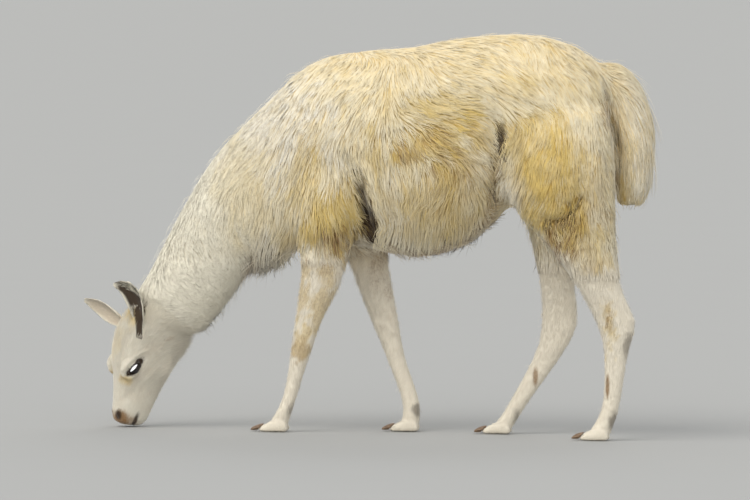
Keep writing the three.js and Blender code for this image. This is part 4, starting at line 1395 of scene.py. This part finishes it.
    def _mesh(self, patch: Patch, line: Array, facing: Array, girth: Array) -> Piece:
        """Makes the tufts, flat on the body and shaded softly along it.

        Args:
            patch: what grows.
            line: the middle lines.
            facing: the skin's normals along them.
            girth: half the width of each tuft.

        Returns:
            The piece.
        """
        count, levels = line.shape[:2]
        tangent = unit(np.gradient(line, axis=1))
        out = unit(facing - tangent * dot(tangent, facing))
        taper = np.interp(np.linspace(0.0, 1.0, levels), *self.TAPER)
        wide = girth[:, None, None] * taper[:-1, None]
        piece, ways = closed_tufts(patch.name, line, np.cross(tangent, out), self.FLATNESS * out, wide)
        own = np.stack(ways, 2) * (1.0 - patch.soft) + facing[:, :-1, None] * patch.soft
        shade = np.concatenate([own.reshape(count, -1, 3), facing[:, -1:]], axis=1)
        piece.data.normals_split_custom_set_from_vertices(unit(shade).reshape(-1, 3))
        return piece

    def _map(self, piece: Piece, places: Array, levels: int) -> None:
        """Writes the map of the tufts: one small patch for each, at its root's place."""
        offsets = [(corners - 0.5) * self.MAP_SIZE for _, corners in tuft_faces(levels)]
        parts = [(places[:, None, None, :] + offset[None]).reshape(-1, 2) for offset in offsets]
        layer = piece.data.uv_layers.new(name="OFBake")
        write_all(layer.data, "uv", np.concatenate(parts))
        LOG.info("%s: %d tufts", piece.name, len(places))


# --- Eyes, lashes and nails ------------------------------------------------------------------------------
@dataclass
class Eye:
    """One eye: a dark ball with a raised cornea, and the lashes of its upper lid."""

    side: int

    RADII = (0.0255, 0.0192, 0.0208)  # of the ball: along the opening, across it and forwards
    PLACE = (-0.059, 0.052, 0.162)  # on the upright head's left or right
    SLANT = 0.57  # how far the opening leans back
    OPENING = (0.0228, 0.0092)  # half the length and half the height between the lids
    LID = 0.0026  # how thick the lids are
    CORNEA = (0.055, 0.72)  # how far it bulges and how wide it is, in radians
    LASHES = 34
    LASH_LENGTH = 0.017
    LASH_GIRTH = 0.00042
    LASH_LEVELS = 6

    @property
    def name(self) -> str:
        """The name of the CAD node that the eye stands for."""
        return f"eye_{SIDE_NAMES[self.side]}"

    @classmethod
    def opening_at(cls, folded_points: Array) -> tuple[Array, Array, Array]:
        """Measures points against the opening.

        Args:
            folded_points: points of the upright head, folded to one side.

        Returns:
            How far each point lies along the opening and across it, and its distance from the opening's
            middle, with 1 at the lids' edge.
        """
        off = folded_points - np.array(cls.PLACE)
        along = off[:, 2] * math.cos(cls.SLANT) + off[:, 0] * math.sin(cls.SLANT)
        across = off[:, 0] * math.cos(cls.SLANT) - off[:, 2] * math.sin(cls.SLANT)
        return along, across, np.hypot(along / cls.OPENING[0], across / cls.OPENING[1])

    @property
    def centre(self) -> Array:
        """The middle of the ball on the upright head."""
        return np.array(self.PLACE) * (1, self.side, 1)

    def axes(self) -> tuple[Array, Array, Array]:
        """Returns the gaze, the long way of the opening and the way to the upper lid, on the upright head."""
        gaze = unit(np.array((-0.22, 1.0 * self.side, -0.05)))
        long_way = np.array((math.sin(self.SLANT), 0.0, math.cos(self.SLANT)))
        long_way = unit(long_way - gaze * (long_way @ gaze))
        upper = np.cross(gaze, long_way)
        return gaze, long_way, upper if upper[0] < 0 else -upper

    def ball(self) -> Piece:
        """Makes the eyeball."""
        gaze, long_way, upper = self.axes()
        work = bmesh.new()
        bmesh.ops.create_uvsphere(work, u_segments=64, v_segments=48, radius=1.0)
        mesh = to_mesh("ball", work)
        points = np.array([v.co[:] for v in mesh.vertices])
        faces = [np.array([p.vertices[:] for p in mesh.polygons if len(p.vertices) == n]) for n in (3, 4)]
        bpy.data.meshes.remove(mesh)
        bulge, wide = self.CORNEA
        swell = 1.0 + bulge * ramp(wide, 0.0, np.arccos(np.clip(points[:, 2], -1, 1)))
        turned = (points * np.array(self.RADII)) @ np.array((long_way, upper, gaze))
        if np.cross(long_way, upper) @ gaze < 0:
            faces = [f[:, ::-1] for f in faces]
        placed = HEAD.place(self.centre + turned * swell[:, None])
        piece = new_mesh(f"eyeball_{SIDE_NAMES[self.side]}", placed, faces)
        set_attribute(piece, "gaze", "FLOAT_VECTOR", points)
        return piece

    def lashes(self, rng: np.random.Generator) -> Piece:
        """Makes the lashes of the upper lid."""
        gaze, long_way, upper = self.axes()
        half_length, half_height = self.OPENING
        shares = np.linspace(0, 1, self.LASH_LEVELS)
        rows = []
        for number in range(self.LASHES):
            turn = math.pi * (0.10 + 0.78 * (number + rng.uniform(-0.3, 0.3)) / self.LASHES)
            rise, run = math.sin(turn), math.cos(turn)
            rim = self.centre + np.array((0.0, (0.0145 + 0.0055 * rise) * self.side, 0.0))
            rim = rim + long_way * half_length * run + upper * half_height * rise
            away = unit(gaze * 0.95 + upper * 0.55 * rise + long_way * 0.55 * run)
            curl = upper * 0.5 + long_way * 0.2 * run
            length = self.LASH_LENGTH * rng.uniform(0.7, 1.15) * (0.65 + 0.35 * rise)
            bent = away * shares[:, None] + curl * shares[:, None] ** 2 * 0.35
            rows.append(rim + bent * length - gaze * 0.002)
        line = HEAD.place(np.array(rows).reshape(-1, 3)).reshape(len(rows), -1, 3)
        tangent = unit(np.gradient(line, axis=1))
        side = unit(np.cross(tangent, HEAD.turn_only(long_way[None])[0]))
        wide = self.LASH_GIRTH * np.interp(shares, [0, 0.6, 1], [1.0, 0.7, 0.0])[None, :-1, None]
        return closed_tufts(f"lashes_{SIDE_NAMES[self.side]}", line, side, np.cross(side, tangent), wide)[0]


NAIL_VOXEL, NAIL_ROUNDS = 0.0014, 8  # the size of a nail's faces and how often they are smoothed


def rounded_nail(node: Piece) -> Piece:
    """Returns a copy of a nail's CAD solid with its flat faces rounded off."""
    piece = link(node.name.replace("nail", "claw"), to_mesh(node.name, welded(node)))
    remesh = piece.modifiers.new("remesh", "REMESH")
    remesh.mode, remesh.voxel_size = "VOXEL", NAIL_VOXEL
    soften = piece.modifiers.new("soften", "SMOOTH")
    soften.factor, soften.iterations = 0.5, NAIL_ROUNDS
    apply_modifiers(piece)
    write_all(piece.data.polygons, "use_smooth", np.ones(len(piece.data.polygons)), bool)
    return piece


# --- Finishes --------------------------------------------------------------------------------------------
class Paint:
    """A material's node tree, built from expressions."""

    def __init__(self, name: str) -> None:
        """Starts a material with a Principled shader."""
        self.material = bpy.data.materials.new(name)
        self.material.use_nodes = True
        self.tree = self.material.node_tree
        self.shader = self.tree.nodes["Principled BSDF"]

    def node(self, kind: str, settings: dict | None = None, out: int | str = 0, **sockets: object) -> "Val":
        """Adds a node.

        Args:
            kind: the node's type, after "ShaderNode".
            settings: properties, set before the sockets.
            out: which output is wanted.
            **sockets: values or links; in0, in1 name a socket by number, other names by their label.

        Returns:
            The output.
        """
        made = self.tree.nodes.new(f"ShaderNode{kind}")
        for key, value in (settings or {}).items():
            setattr(made, key, value)
        for key, value in sockets.items():
            by_number = key.startswith("in") and key[2:].isdigit()
            self.feed(made.inputs[int(key[2:]) if by_number else key], value)
        return Val(self, made.outputs[out])

    def feed(self, socket: bpy.types.NodeSocket, value: object) -> None:
        """Links a value's socket, or sets the number or colour."""
        if isinstance(value, Val):
            self.tree.links.new(value.socket, socket)
        elif isinstance(value, tuple) and socket.type == "RGBA" and len(value) == 3:
            socket.default_value = (*value, 1.0)
        else:
            socket.default_value = value

    def finish(self, **sockets: object) -> bpy.types.Material:
        """Feeds the shader's sockets, named by their labels with underscores, and returns the material."""
        for key, value in sockets.items():
            self.feed(self.shader.inputs[key.replace("_", " ")], value)
        return self.material

    def attribute(self, name: str, out: str = "Vector") -> "Val":
        """Reads an attribute of the mesh."""
        return self.node("Attribute", {"attribute_name": name}, out)

    def parts(self, value: "Val", kind: str = "SeparateXYZ") -> tuple["Val", ...]:
        """Splits a place or a colour in three."""
        first = self.node(kind, in0=value)
        return tuple(Val(self, socket) for socket in first.socket.node.outputs[:3])

    def place(self) -> "Val":
        """The point's own place in the model."""
        return self.node("TexCoord", out="Object")

    def noise(self, at: "Val", scale: float, detail: float = 3.0, rough: float = 0.6) -> "Val":
        """Noise from 0 to 1 that has scale swellings to the metre."""
        return self.node("TexNoise", None, "Fac", Vector=at, Scale=scale, Detail=detail, Roughness=rough)

    def scaled(self, at: "Val", factors: Triple) -> "Val":
        """Stretches a place along the axes."""
        return self.node("VectorMath", {"operation": "MULTIPLY"}, in0=at, in1=factors)

    def mix(self, share: object, first: object, second: object, blend: str = "MIX") -> "Val":
        """Mixes two colours."""
        kind = {"data_type": "RGBA", "blend_type": blend}
        return self.node("Mix", kind, 2, in0=share, in6=first, in7=second)

    def step(self, value: "Val", low: float, high: float) -> "Val":
        """A smooth step of a value between low and high."""
        kind = {"interpolation_type": "SMOOTHSTEP"}
        return self.node("MapRange", kind, in0=value, in1=low, in2=high, in3=0.0, in4=1.0)

    def bump(self, height: "Val", distance: float, strength: float) -> "Val":
        """A normal from a height."""
        return self.node("Bump", Height=height, Distance=distance, Strength=strength)


def operator(operation: str, swapped: bool = False) -> Callable:
    """Makes a method that adds a Math node for a value and another, or for the other and the value."""

    def method(self: "Val", other: object) -> "Val":
        """Adds the node."""
        return self.math(operation, *((other, self) if swapped else (self, other)))

    return method


class Val:
    """A node's output that takes part in sums."""

    __add__, __radd__ = operator("ADD"), operator("ADD", True)
    __sub__, __rsub__ = operator("SUBTRACT"), operator("SUBTRACT", True)
    __mul__, __rmul__ = operator("MULTIPLY"), operator("MULTIPLY", True)
    __truediv__, __pow__ = operator("DIVIDE"), operator("POWER")

    def __init__(self, paint: Paint, socket: bpy.types.NodeSocket) -> None:
        """Wraps a socket."""
        self.paint, self.socket = paint, socket

    def math(self, operation: str, first: object, second: object) -> "Val":
        """Adds a Math node."""
        return self.paint.node("Math", {"operation": operation}, in0=first, in1=second)

    def clamp(self) -> "Val":
        """Self held between 0 and 1."""
        held = self.math("MINIMUM", self, 1.0)
        return held.math("MAXIMUM", held, 0.0)


@dataclass(frozen=True)
class FleeceFinish:
    """The colours of skin and coat: cream, with ochre, brown, dark and white over it, and painted shade in
    the creases, hollows and gaps of the coat.
    """

    name: str
    cream: Triple = (0.92, 0.81, 0.57)
    pale: Triple = (0.96, 0.90, 0.73)
    leg: Triple = (0.90, 0.82, 0.67)
    face: Triple = (0.82, 0.765, 0.635)
    ochre: Triple = (0.80, 0.59, 0.20)
    # brown and dark are also used for painted shade in creases and hollows
    brown: Triple = (0.31, 0.18, 0.083)
    dark: Triple = (0.058, 0.037, 0.024)
    white: Triple = (0.96, 0.91, 0.79)
    deep: Triple = (1.0, 0.87, 0.63)  # painted shade: warms and darkens the wool near the skin and the skin between the tufts
    tan: Triple = (0.68, 0.55, 0.40)  # clouds on the face
    strands: bool = True  # tufts; without it, the bare skin

    def build(self) -> bpy.types.Material:
        """Makes the material."""
        paint = Paint(self.name)
        place = paint.attribute("place") if self.strands else paint.place()
        ochre, brown, dark = paint.parts(paint.attribute("marks", "Color"), "SeparateColor")
        white = paint.attribute("marks", "Alpha")
        ahead, _, height = paint.parts(place)
        torso = paint.step(ahead, -0.52, -0.18) * paint.step(height, 0.45, 0.72)
        mottle = paint.noise(place, 26.0, 4.0, 0.65)
        fine = paint.noise(place, 160.0, 3.0, 0.7)
        shank = paint.step(height, 0.64, 0.50) * paint.step(ahead, -0.40, -0.34)
        cheek = paint.step(height + ahead * 0.6, 0.06, -0.10) * paint.step(ahead, -0.44, -0.50)
        single, lock, along = paint.parts(paint.attribute("strand"))
        uneven = 0.30 + 0.55 * lock if self.strands else 0.58
        speckle = 0.30 + 1.3 * paint.step(fine, 0.42, 0.66)
        plain = (cheek + paint.step(height, 0.30, 0.22)).clamp()  # there the brown isn't speckled
        # painted shade: where the fleece grows, the skin and the lower part of each tuft get the warm dark of
        # the shaded gaps between tufts
        gap_shade = paint.step(height, 0.44, 0.56) * (0.4 + 0.6 * torso)
        colour = paint.mix(torso, self.pale, self.cream)
        # the brown and dark marks include painted shade in creases, hollows and under the belly
        for share, over in (
            (shank, self.leg),
            (cheek, self.face),
            (cheek * (mottle * 2.0 - 0.8).clamp() * 0.45, self.tan),
            ((mottle * 1.6 - 0.5).clamp() * 0.35 * torso, self.pale),
            ((white * (0.6 + 0.6 * mottle)).clamp(), self.white),
            ((ochre * (uneven + 0.75 * mottle)).clamp(), self.ochre),
            ((brown * (speckle + plain * (0.9 - 0.8 * speckle))).clamp(), self.brown),
            (dark, self.dark),
        ):
            colour = paint.mix(share, colour, over)
        if self.strands:
            # painted shade: each tuft darker at its root, where the coat shades it; the rest is random tone
            # of tuft and lock
            light = 0.90 + 0.08 * paint.step(along, 0.0, 0.5)
            light = light + (0.07 + 0.15 * cheek) * (single - 0.5) + 0.07 * (lock - 0.5)
            warm = (paint.step(lock, 0.72, 1.0) * 0.22 + paint.step(single, 0.85, 1.0) * 0.18) * torso
            colour = paint.mix(warm, colour, self.ochre)
            gap_shade = gap_shade * (1.0 - paint.step(along, 0.0, 0.7))
        else:
            grain = paint.noise(paint.scaled(place, (1.0, 1.0, 0.16)), 420.0, 3.0, 0.7)
            light = 0.84 + 0.14 * grain
            paint.finish(Normal=paint.bump(grain, 0.002, 0.6))
        colour = paint.mix(gap_shade, colour, self.deep, "MULTIPLY")
        grey = paint.node("CombineColor", in0=light, in1=light, in2=light)
        return paint.finish(
            Base_Color=paint.mix(1.0, colour, grey, "MULTIPLY"),
            Roughness=0.62,
            Specular_IOR_Level=0.0,
            Sheen_Weight=0.30,
            Sheen_Roughness=0.5,
        )


@dataclass(frozen=True)
class EyeFinish:
    """A wet, nearly black eye with a brown iris and a long pupil."""

    name: str = "wet_eye"
    iris: Triple = (0.014, 0.008, 0.006)
    rim: Triple = (0.006, 0.004, 0.004)
    pupil: Triple = (0.002, 0.002, 0.003)
    white: Triple = (0.030, 0.022, 0.018)

    def build(self) -> bpy.types.Material:
        """Makes the material."""
        paint = Paint(self.name)
        gaze = paint.attribute("gaze")
        x, y, _ = paint.parts(gaze)
        off = (x * x + y * y) ** 0.5
        slot = ((x / 0.40) ** 2.0 + (y / 0.20) ** 2.0) ** 0.5
        colour = paint.mix(paint.noise(gaze, 9.0, 4.0, 0.7), self.rim, self.iris)
        colour = paint.mix(paint.step(slot, 1.15, 0.9), colour, self.pupil)
        colour = paint.mix(paint.step(off, 0.60, 0.70), colour, self.rim)
        colour = paint.mix(paint.step(off, 0.86, 0.98), colour, self.white)
        return paint.finish(
            Base_Color=colour, Roughness=0.3, Specular_IOR_Level=0.0, Coat_Weight=1.0, Coat_Roughness=0.02
        )


@dataclass(frozen=True)
class HornFinish:
    """Grown horn: streaked along its length, dull and a little dirty."""

    name: str = "nail_horn"
    light: Triple = (0.34, 0.215, 0.12)
    deep: Triple = (0.10, 0.062, 0.038)

    def build(self) -> bpy.types.Material:
        """Makes the material."""
        paint = Paint(self.name)
        place = paint.place()
        streak = paint.noise(paint.scaled(place, (0.12, 1.0, 1.0)), 520.0, 4.0, 0.7)
        cloud = paint.noise(place, 90.0)
        colour = paint.mix(paint.step(streak, 0.3, 0.75), self.deep, self.light)
        colour = paint.mix((cloud * 1.4 - 0.5).clamp() * 0.6, colour, self.deep)
        bumps = paint.bump(streak, 0.0008, 0.6)
        return paint.finish(Base_Color=colour, Roughness=0.45 + 0.25 * cloud, Normal=bumps)


@dataclass(frozen=True)
class CloudedFinish:
    """A plain matt colour that drifts towards another."""

    name: str
    first: Triple
    second: Triple
    scale: float  # cloudings to the metre
    share: float
    roughness: float
    gloss: float = 0.5

    def build(self) -> bpy.types.Material:
        """Makes the material."""
        paint = Paint(self.name)
        cloud = paint.noise(paint.place(), self.scale) * self.share
        colour = paint.mix(cloud, self.first, self.second)
        return paint.finish(Base_Color=colour, Roughness=self.roughness, Specular_IOR_Level=self.gloss)


LASH = CloudedFinish("lash", (0.020, 0.014, 0.011), (0.05, 0.036, 0.028), 300.0, 1.0, 0.4)
PALE_FLOOR = CloudedFinish("pale_floor", (0.42, 0.42, 0.41), (0.39, 0.39, 0.38), 2.0, 0.2, 0.9, 0.0)


# --- Studio ----------------------------------------------------------------------------------------------
@dataclass
class Studio:
    """Camera, floor and lights."""

    aim: Triple = (0.0238, 0.0, 0.548)
    distance: float = 24.0
    turn: float = math.radians(7.0)
    height_angle: float = math.radians(2.6)
    roll: float = math.radians(1.06)
    lens: float = 384.0
    sensor: float = 36.0
    floor_half: float = 200.0
    sky: tuple[float, ...] = (0.96, 0.98, 1.0, 1.0)
    sky_strength: float = 0.76
    gleam_lift: float = 0.15  # how far the gleam sits above the middle of the eye
    gleam_size: tuple[float, float] = (0.62, 0.13)
    gleam_distance: float = 0.12
    gleam_power: float = 5.5

    def camera(self) -> None:
        """Sets up the camera."""
        flat, rise = math.cos(self.height_angle), math.sin(self.height_angle)
        back = np.array((math.sin(self.turn) * flat, -math.cos(self.turn) * flat, rise))
        right = unit(np.cross((0.0, 0.0, 1.0), back))
        up = np.cross(back, right)
        level, plumb = math.cos(self.roll), math.sin(self.roll)
        right, up = right * level + up * plumb, up * level - right * plumb
        data = bpy.data.cameras.new("camera")
        data.lens, data.sensor_width, data.sensor_fit = self.lens, self.sensor, "HORIZONTAL"
        data.clip_end = 1000.0
        camera = link("camera", data)
        turned = Matrix((right, up, back)).transposed().to_4x4()
        camera.matrix_world = Matrix.Translation(Vector(self.aim) + Vector(back) * self.distance) @ turned
        bpy.context.scene.camera = camera

    def floor(self) -> None:
        """Lays the floor."""
        h = self.floor_half
        corners = np.array(((-h, -h, 0), (h, -h, 0), (h, h, 0), (-h, h, 0)), float)
        floor = new_mesh("floor", corners, [np.array([(0, 1, 2, 3)])])
        floor.data.materials.append(PALE_FLOOR.build())

    def lights(self) -> None:
        """Hangs the lights: a broad sky, a soft key from above the camera and a box for the eye's gleam."""
        world = bpy.data.worlds.new("studio")
        world.use_nodes = True
        background = world.node_tree.nodes["Background"].inputs
        background["Color"].default_value, background["Strength"].default_value = self.sky, self.sky_strength
        bpy.context.scene.world = world
        bpy.context.scene.view_settings.view_transform = "Standard"
        self._sun("key", (-0.52, -0.70, 0.95), 1.35, 40.0, (1.0, 0.97, 0.92))
        self._sun("fill", (-0.10, -1.0, 0.25), 0.75, 60.0, (1.0, 0.99, 0.97))
        self._sun("back", (0.2, 0.9, 0.7), 0.5, 40.0, (1.0, 1.0, 1.0))
        for side in (LEFT, RIGHT):
            self._gleam(Eye(side))

    @staticmethod
    def _sun(name: str, towards: Triple, strength: float, spread: float, colour: Triple) -> None:
        """Adds a distant light that shines from a direction."""
        data = bpy.data.lights.new(name, "SUN")
        data.energy, data.angle, data.color = strength, math.radians(spread), colour
        link(name, data).rotation_euler = Vector(towards).to_track_quat("Z", "Y").to_euler()

    def _gleam(self, eye: Eye) -> None:
        """Hangs a long soft box before an eye, which only its gloss shows."""
        gaze, long_way, upper = HEAD.turn_only(np.array(eye.axes()))
        back = unit(gaze + self.gleam_lift * upper)
        long_way = unit(long_way - back * (long_way @ back))
        length, width = self.gleam_size
        data = bpy.data.lights.new(f"gleam_{eye.name}", "AREA")
        data.shape, data.size, data.size_y, data.energy = "ELLIPSE", length, width, self.gleam_power
        light = link(data.name, data)
        at = HEAD.place(eye.centre[None])[0] + back * self.gleam_distance
        turned = Matrix((long_way, np.cross(back, long_way), back)).transposed().to_4x4()
        light.matrix_world = Matrix.Translation(at) @ turned
        light.visible_diffuse = light.visible_camera = False


# --- The whole animal ------------------------------------------------------------------------------------
PATCHES = [
    Patch("coat_neck_left", N, LEFT, 14000, 3, 0.0024, lock=0.010, gather=0.25),
    Patch("coat_neck_right", N, RIGHT, 9500, 3, 0.0029, lock=0.010, gather=0.3),
    Patch("coat_back", T, 0, 12000, 4, 0.0034, (1.04, 3.0), 0.016, 0.35, 0.6, 0.88),
    Patch("coat_flank_left", T, LEFT, 11800, 4, 0.0029, (0.66, 1.04), 0.018, 0.55),
    Patch("coat_flank_right", T, RIGHT, 7200, 4, 0.0037, (0.66, 1.04), 0.018, 0.55),
    Patch("coat_belly", T, 0, 7200, 4, 0.0034, (-1.0, 0.66), 0.020),
    Patch("coat_thigh_left", H, LEFT, 9500, 4, 0.0027, lock=0.014, gather=0.5),
    Patch("coat_thigh_right", H, RIGHT, 6500, 4, 0.0034, lock=0.014, gather=0.5),
    Patch("coat_tail", A, 0, 4800, 5, 0.0026, lock=0.018, gather=0.35, swirl=0.25, soft=0.35),
    Patch("coat_head", F, 0, 14500, 3, 0.0009, lock=0.004, gather=0.3, soft=0.3, slot="face_coat"),
    Patch("coat_ears", E, 0, 3000, 3, 0.0011, lock=0.003, gather=0.2, slot="face_coat"),
    Patch("coat_legs", L, 0, 11700, 3, 0.0017, lock=0.006, gather=0.4, soft=0.4, slot="leg_coat"),
]


class Llama:
    """The whole dressed animal."""

    def __init__(self, frame: dict) -> None:
        """Keeps the frame's nodes and prepares the markings."""
        self.nodes = frame["nodes"]
        self.markings = Markings()

    def build(self) -> None:
        """Builds every piece."""
        skin = Skin(self.nodes)
        self._skin(skin)
        self._coat(skin)
        self._eyes()
        self._nails()

    def _skin(self, skin: Skin) -> None:
        """Joins and dresses the skin."""
        piece = skin.joined()
        points = read_all(piece.data.vertices, "co", 3, np.float32).astype(float)
        normals = read_all(piece.data.vertex_normals, "vector", 3, np.float32).astype(float)
        marks = self.markings.at(points, normals, skin.finder.regions(points))
        set_attribute(piece, "marks", "FLOAT_COLOR", marks)
        piece.data.materials.append(FleeceFinish("skin_coat", strands=False).build())
        write_all(piece.data.polygons, "use_smooth", np.ones(len(piece.data.polygons)), bool)
        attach(piece, BODY)
        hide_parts(*skin.names)
        LOG.info("skin: %d faces", len(piece.data.polygons))

    def _coat(self, skin: Skin) -> None:
        """Grows the coat."""
        coat = Coat(skin, self.markings)
        finish = FleeceFinish("fleece_tufts").build()
        for number, patch in enumerate(PATCHES):
            piece = coat.grow(patch, np.random.default_rng(SEED * 100 + number))
            piece.data.materials.append(finish)
            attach(piece, BODY)

    def _eyes(self) -> None:
        """Sets the eyes and their lashes."""
        wet, lash = EyeFinish().build(), LASH.build()
        for side in (LEFT, RIGHT):
            eye = Eye(side)
            ball = eye.ball()
            ball.data.materials.append(wet)
            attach(ball, BODY)
            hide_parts(eye.name)
            lashes = eye.lashes(np.random.default_rng(SEED + side))
            lashes.data.materials.append(lash)
            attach(lashes, BODY)

    def _nails(self) -> None:
        """Sets the nails."""
        horn = HornFinish().build()
        for node in sorted(n for n in self.nodes if n.startswith("nail")):
            piece = rounded_nail(self.nodes[node])
            piece.data.materials.append(horn)
            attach(piece, BODY)
            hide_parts(node)


def main() -> None:
    """Builds the studio and the llama."""
    logging.basicConfig(level=logging.INFO, format="%(message)s")
    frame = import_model()
    studio = Studio()
    studio.camera()
    studio.floor()
    studio.lights()
    Llama(frame).build()


if __name__ == "__main__":
    main()
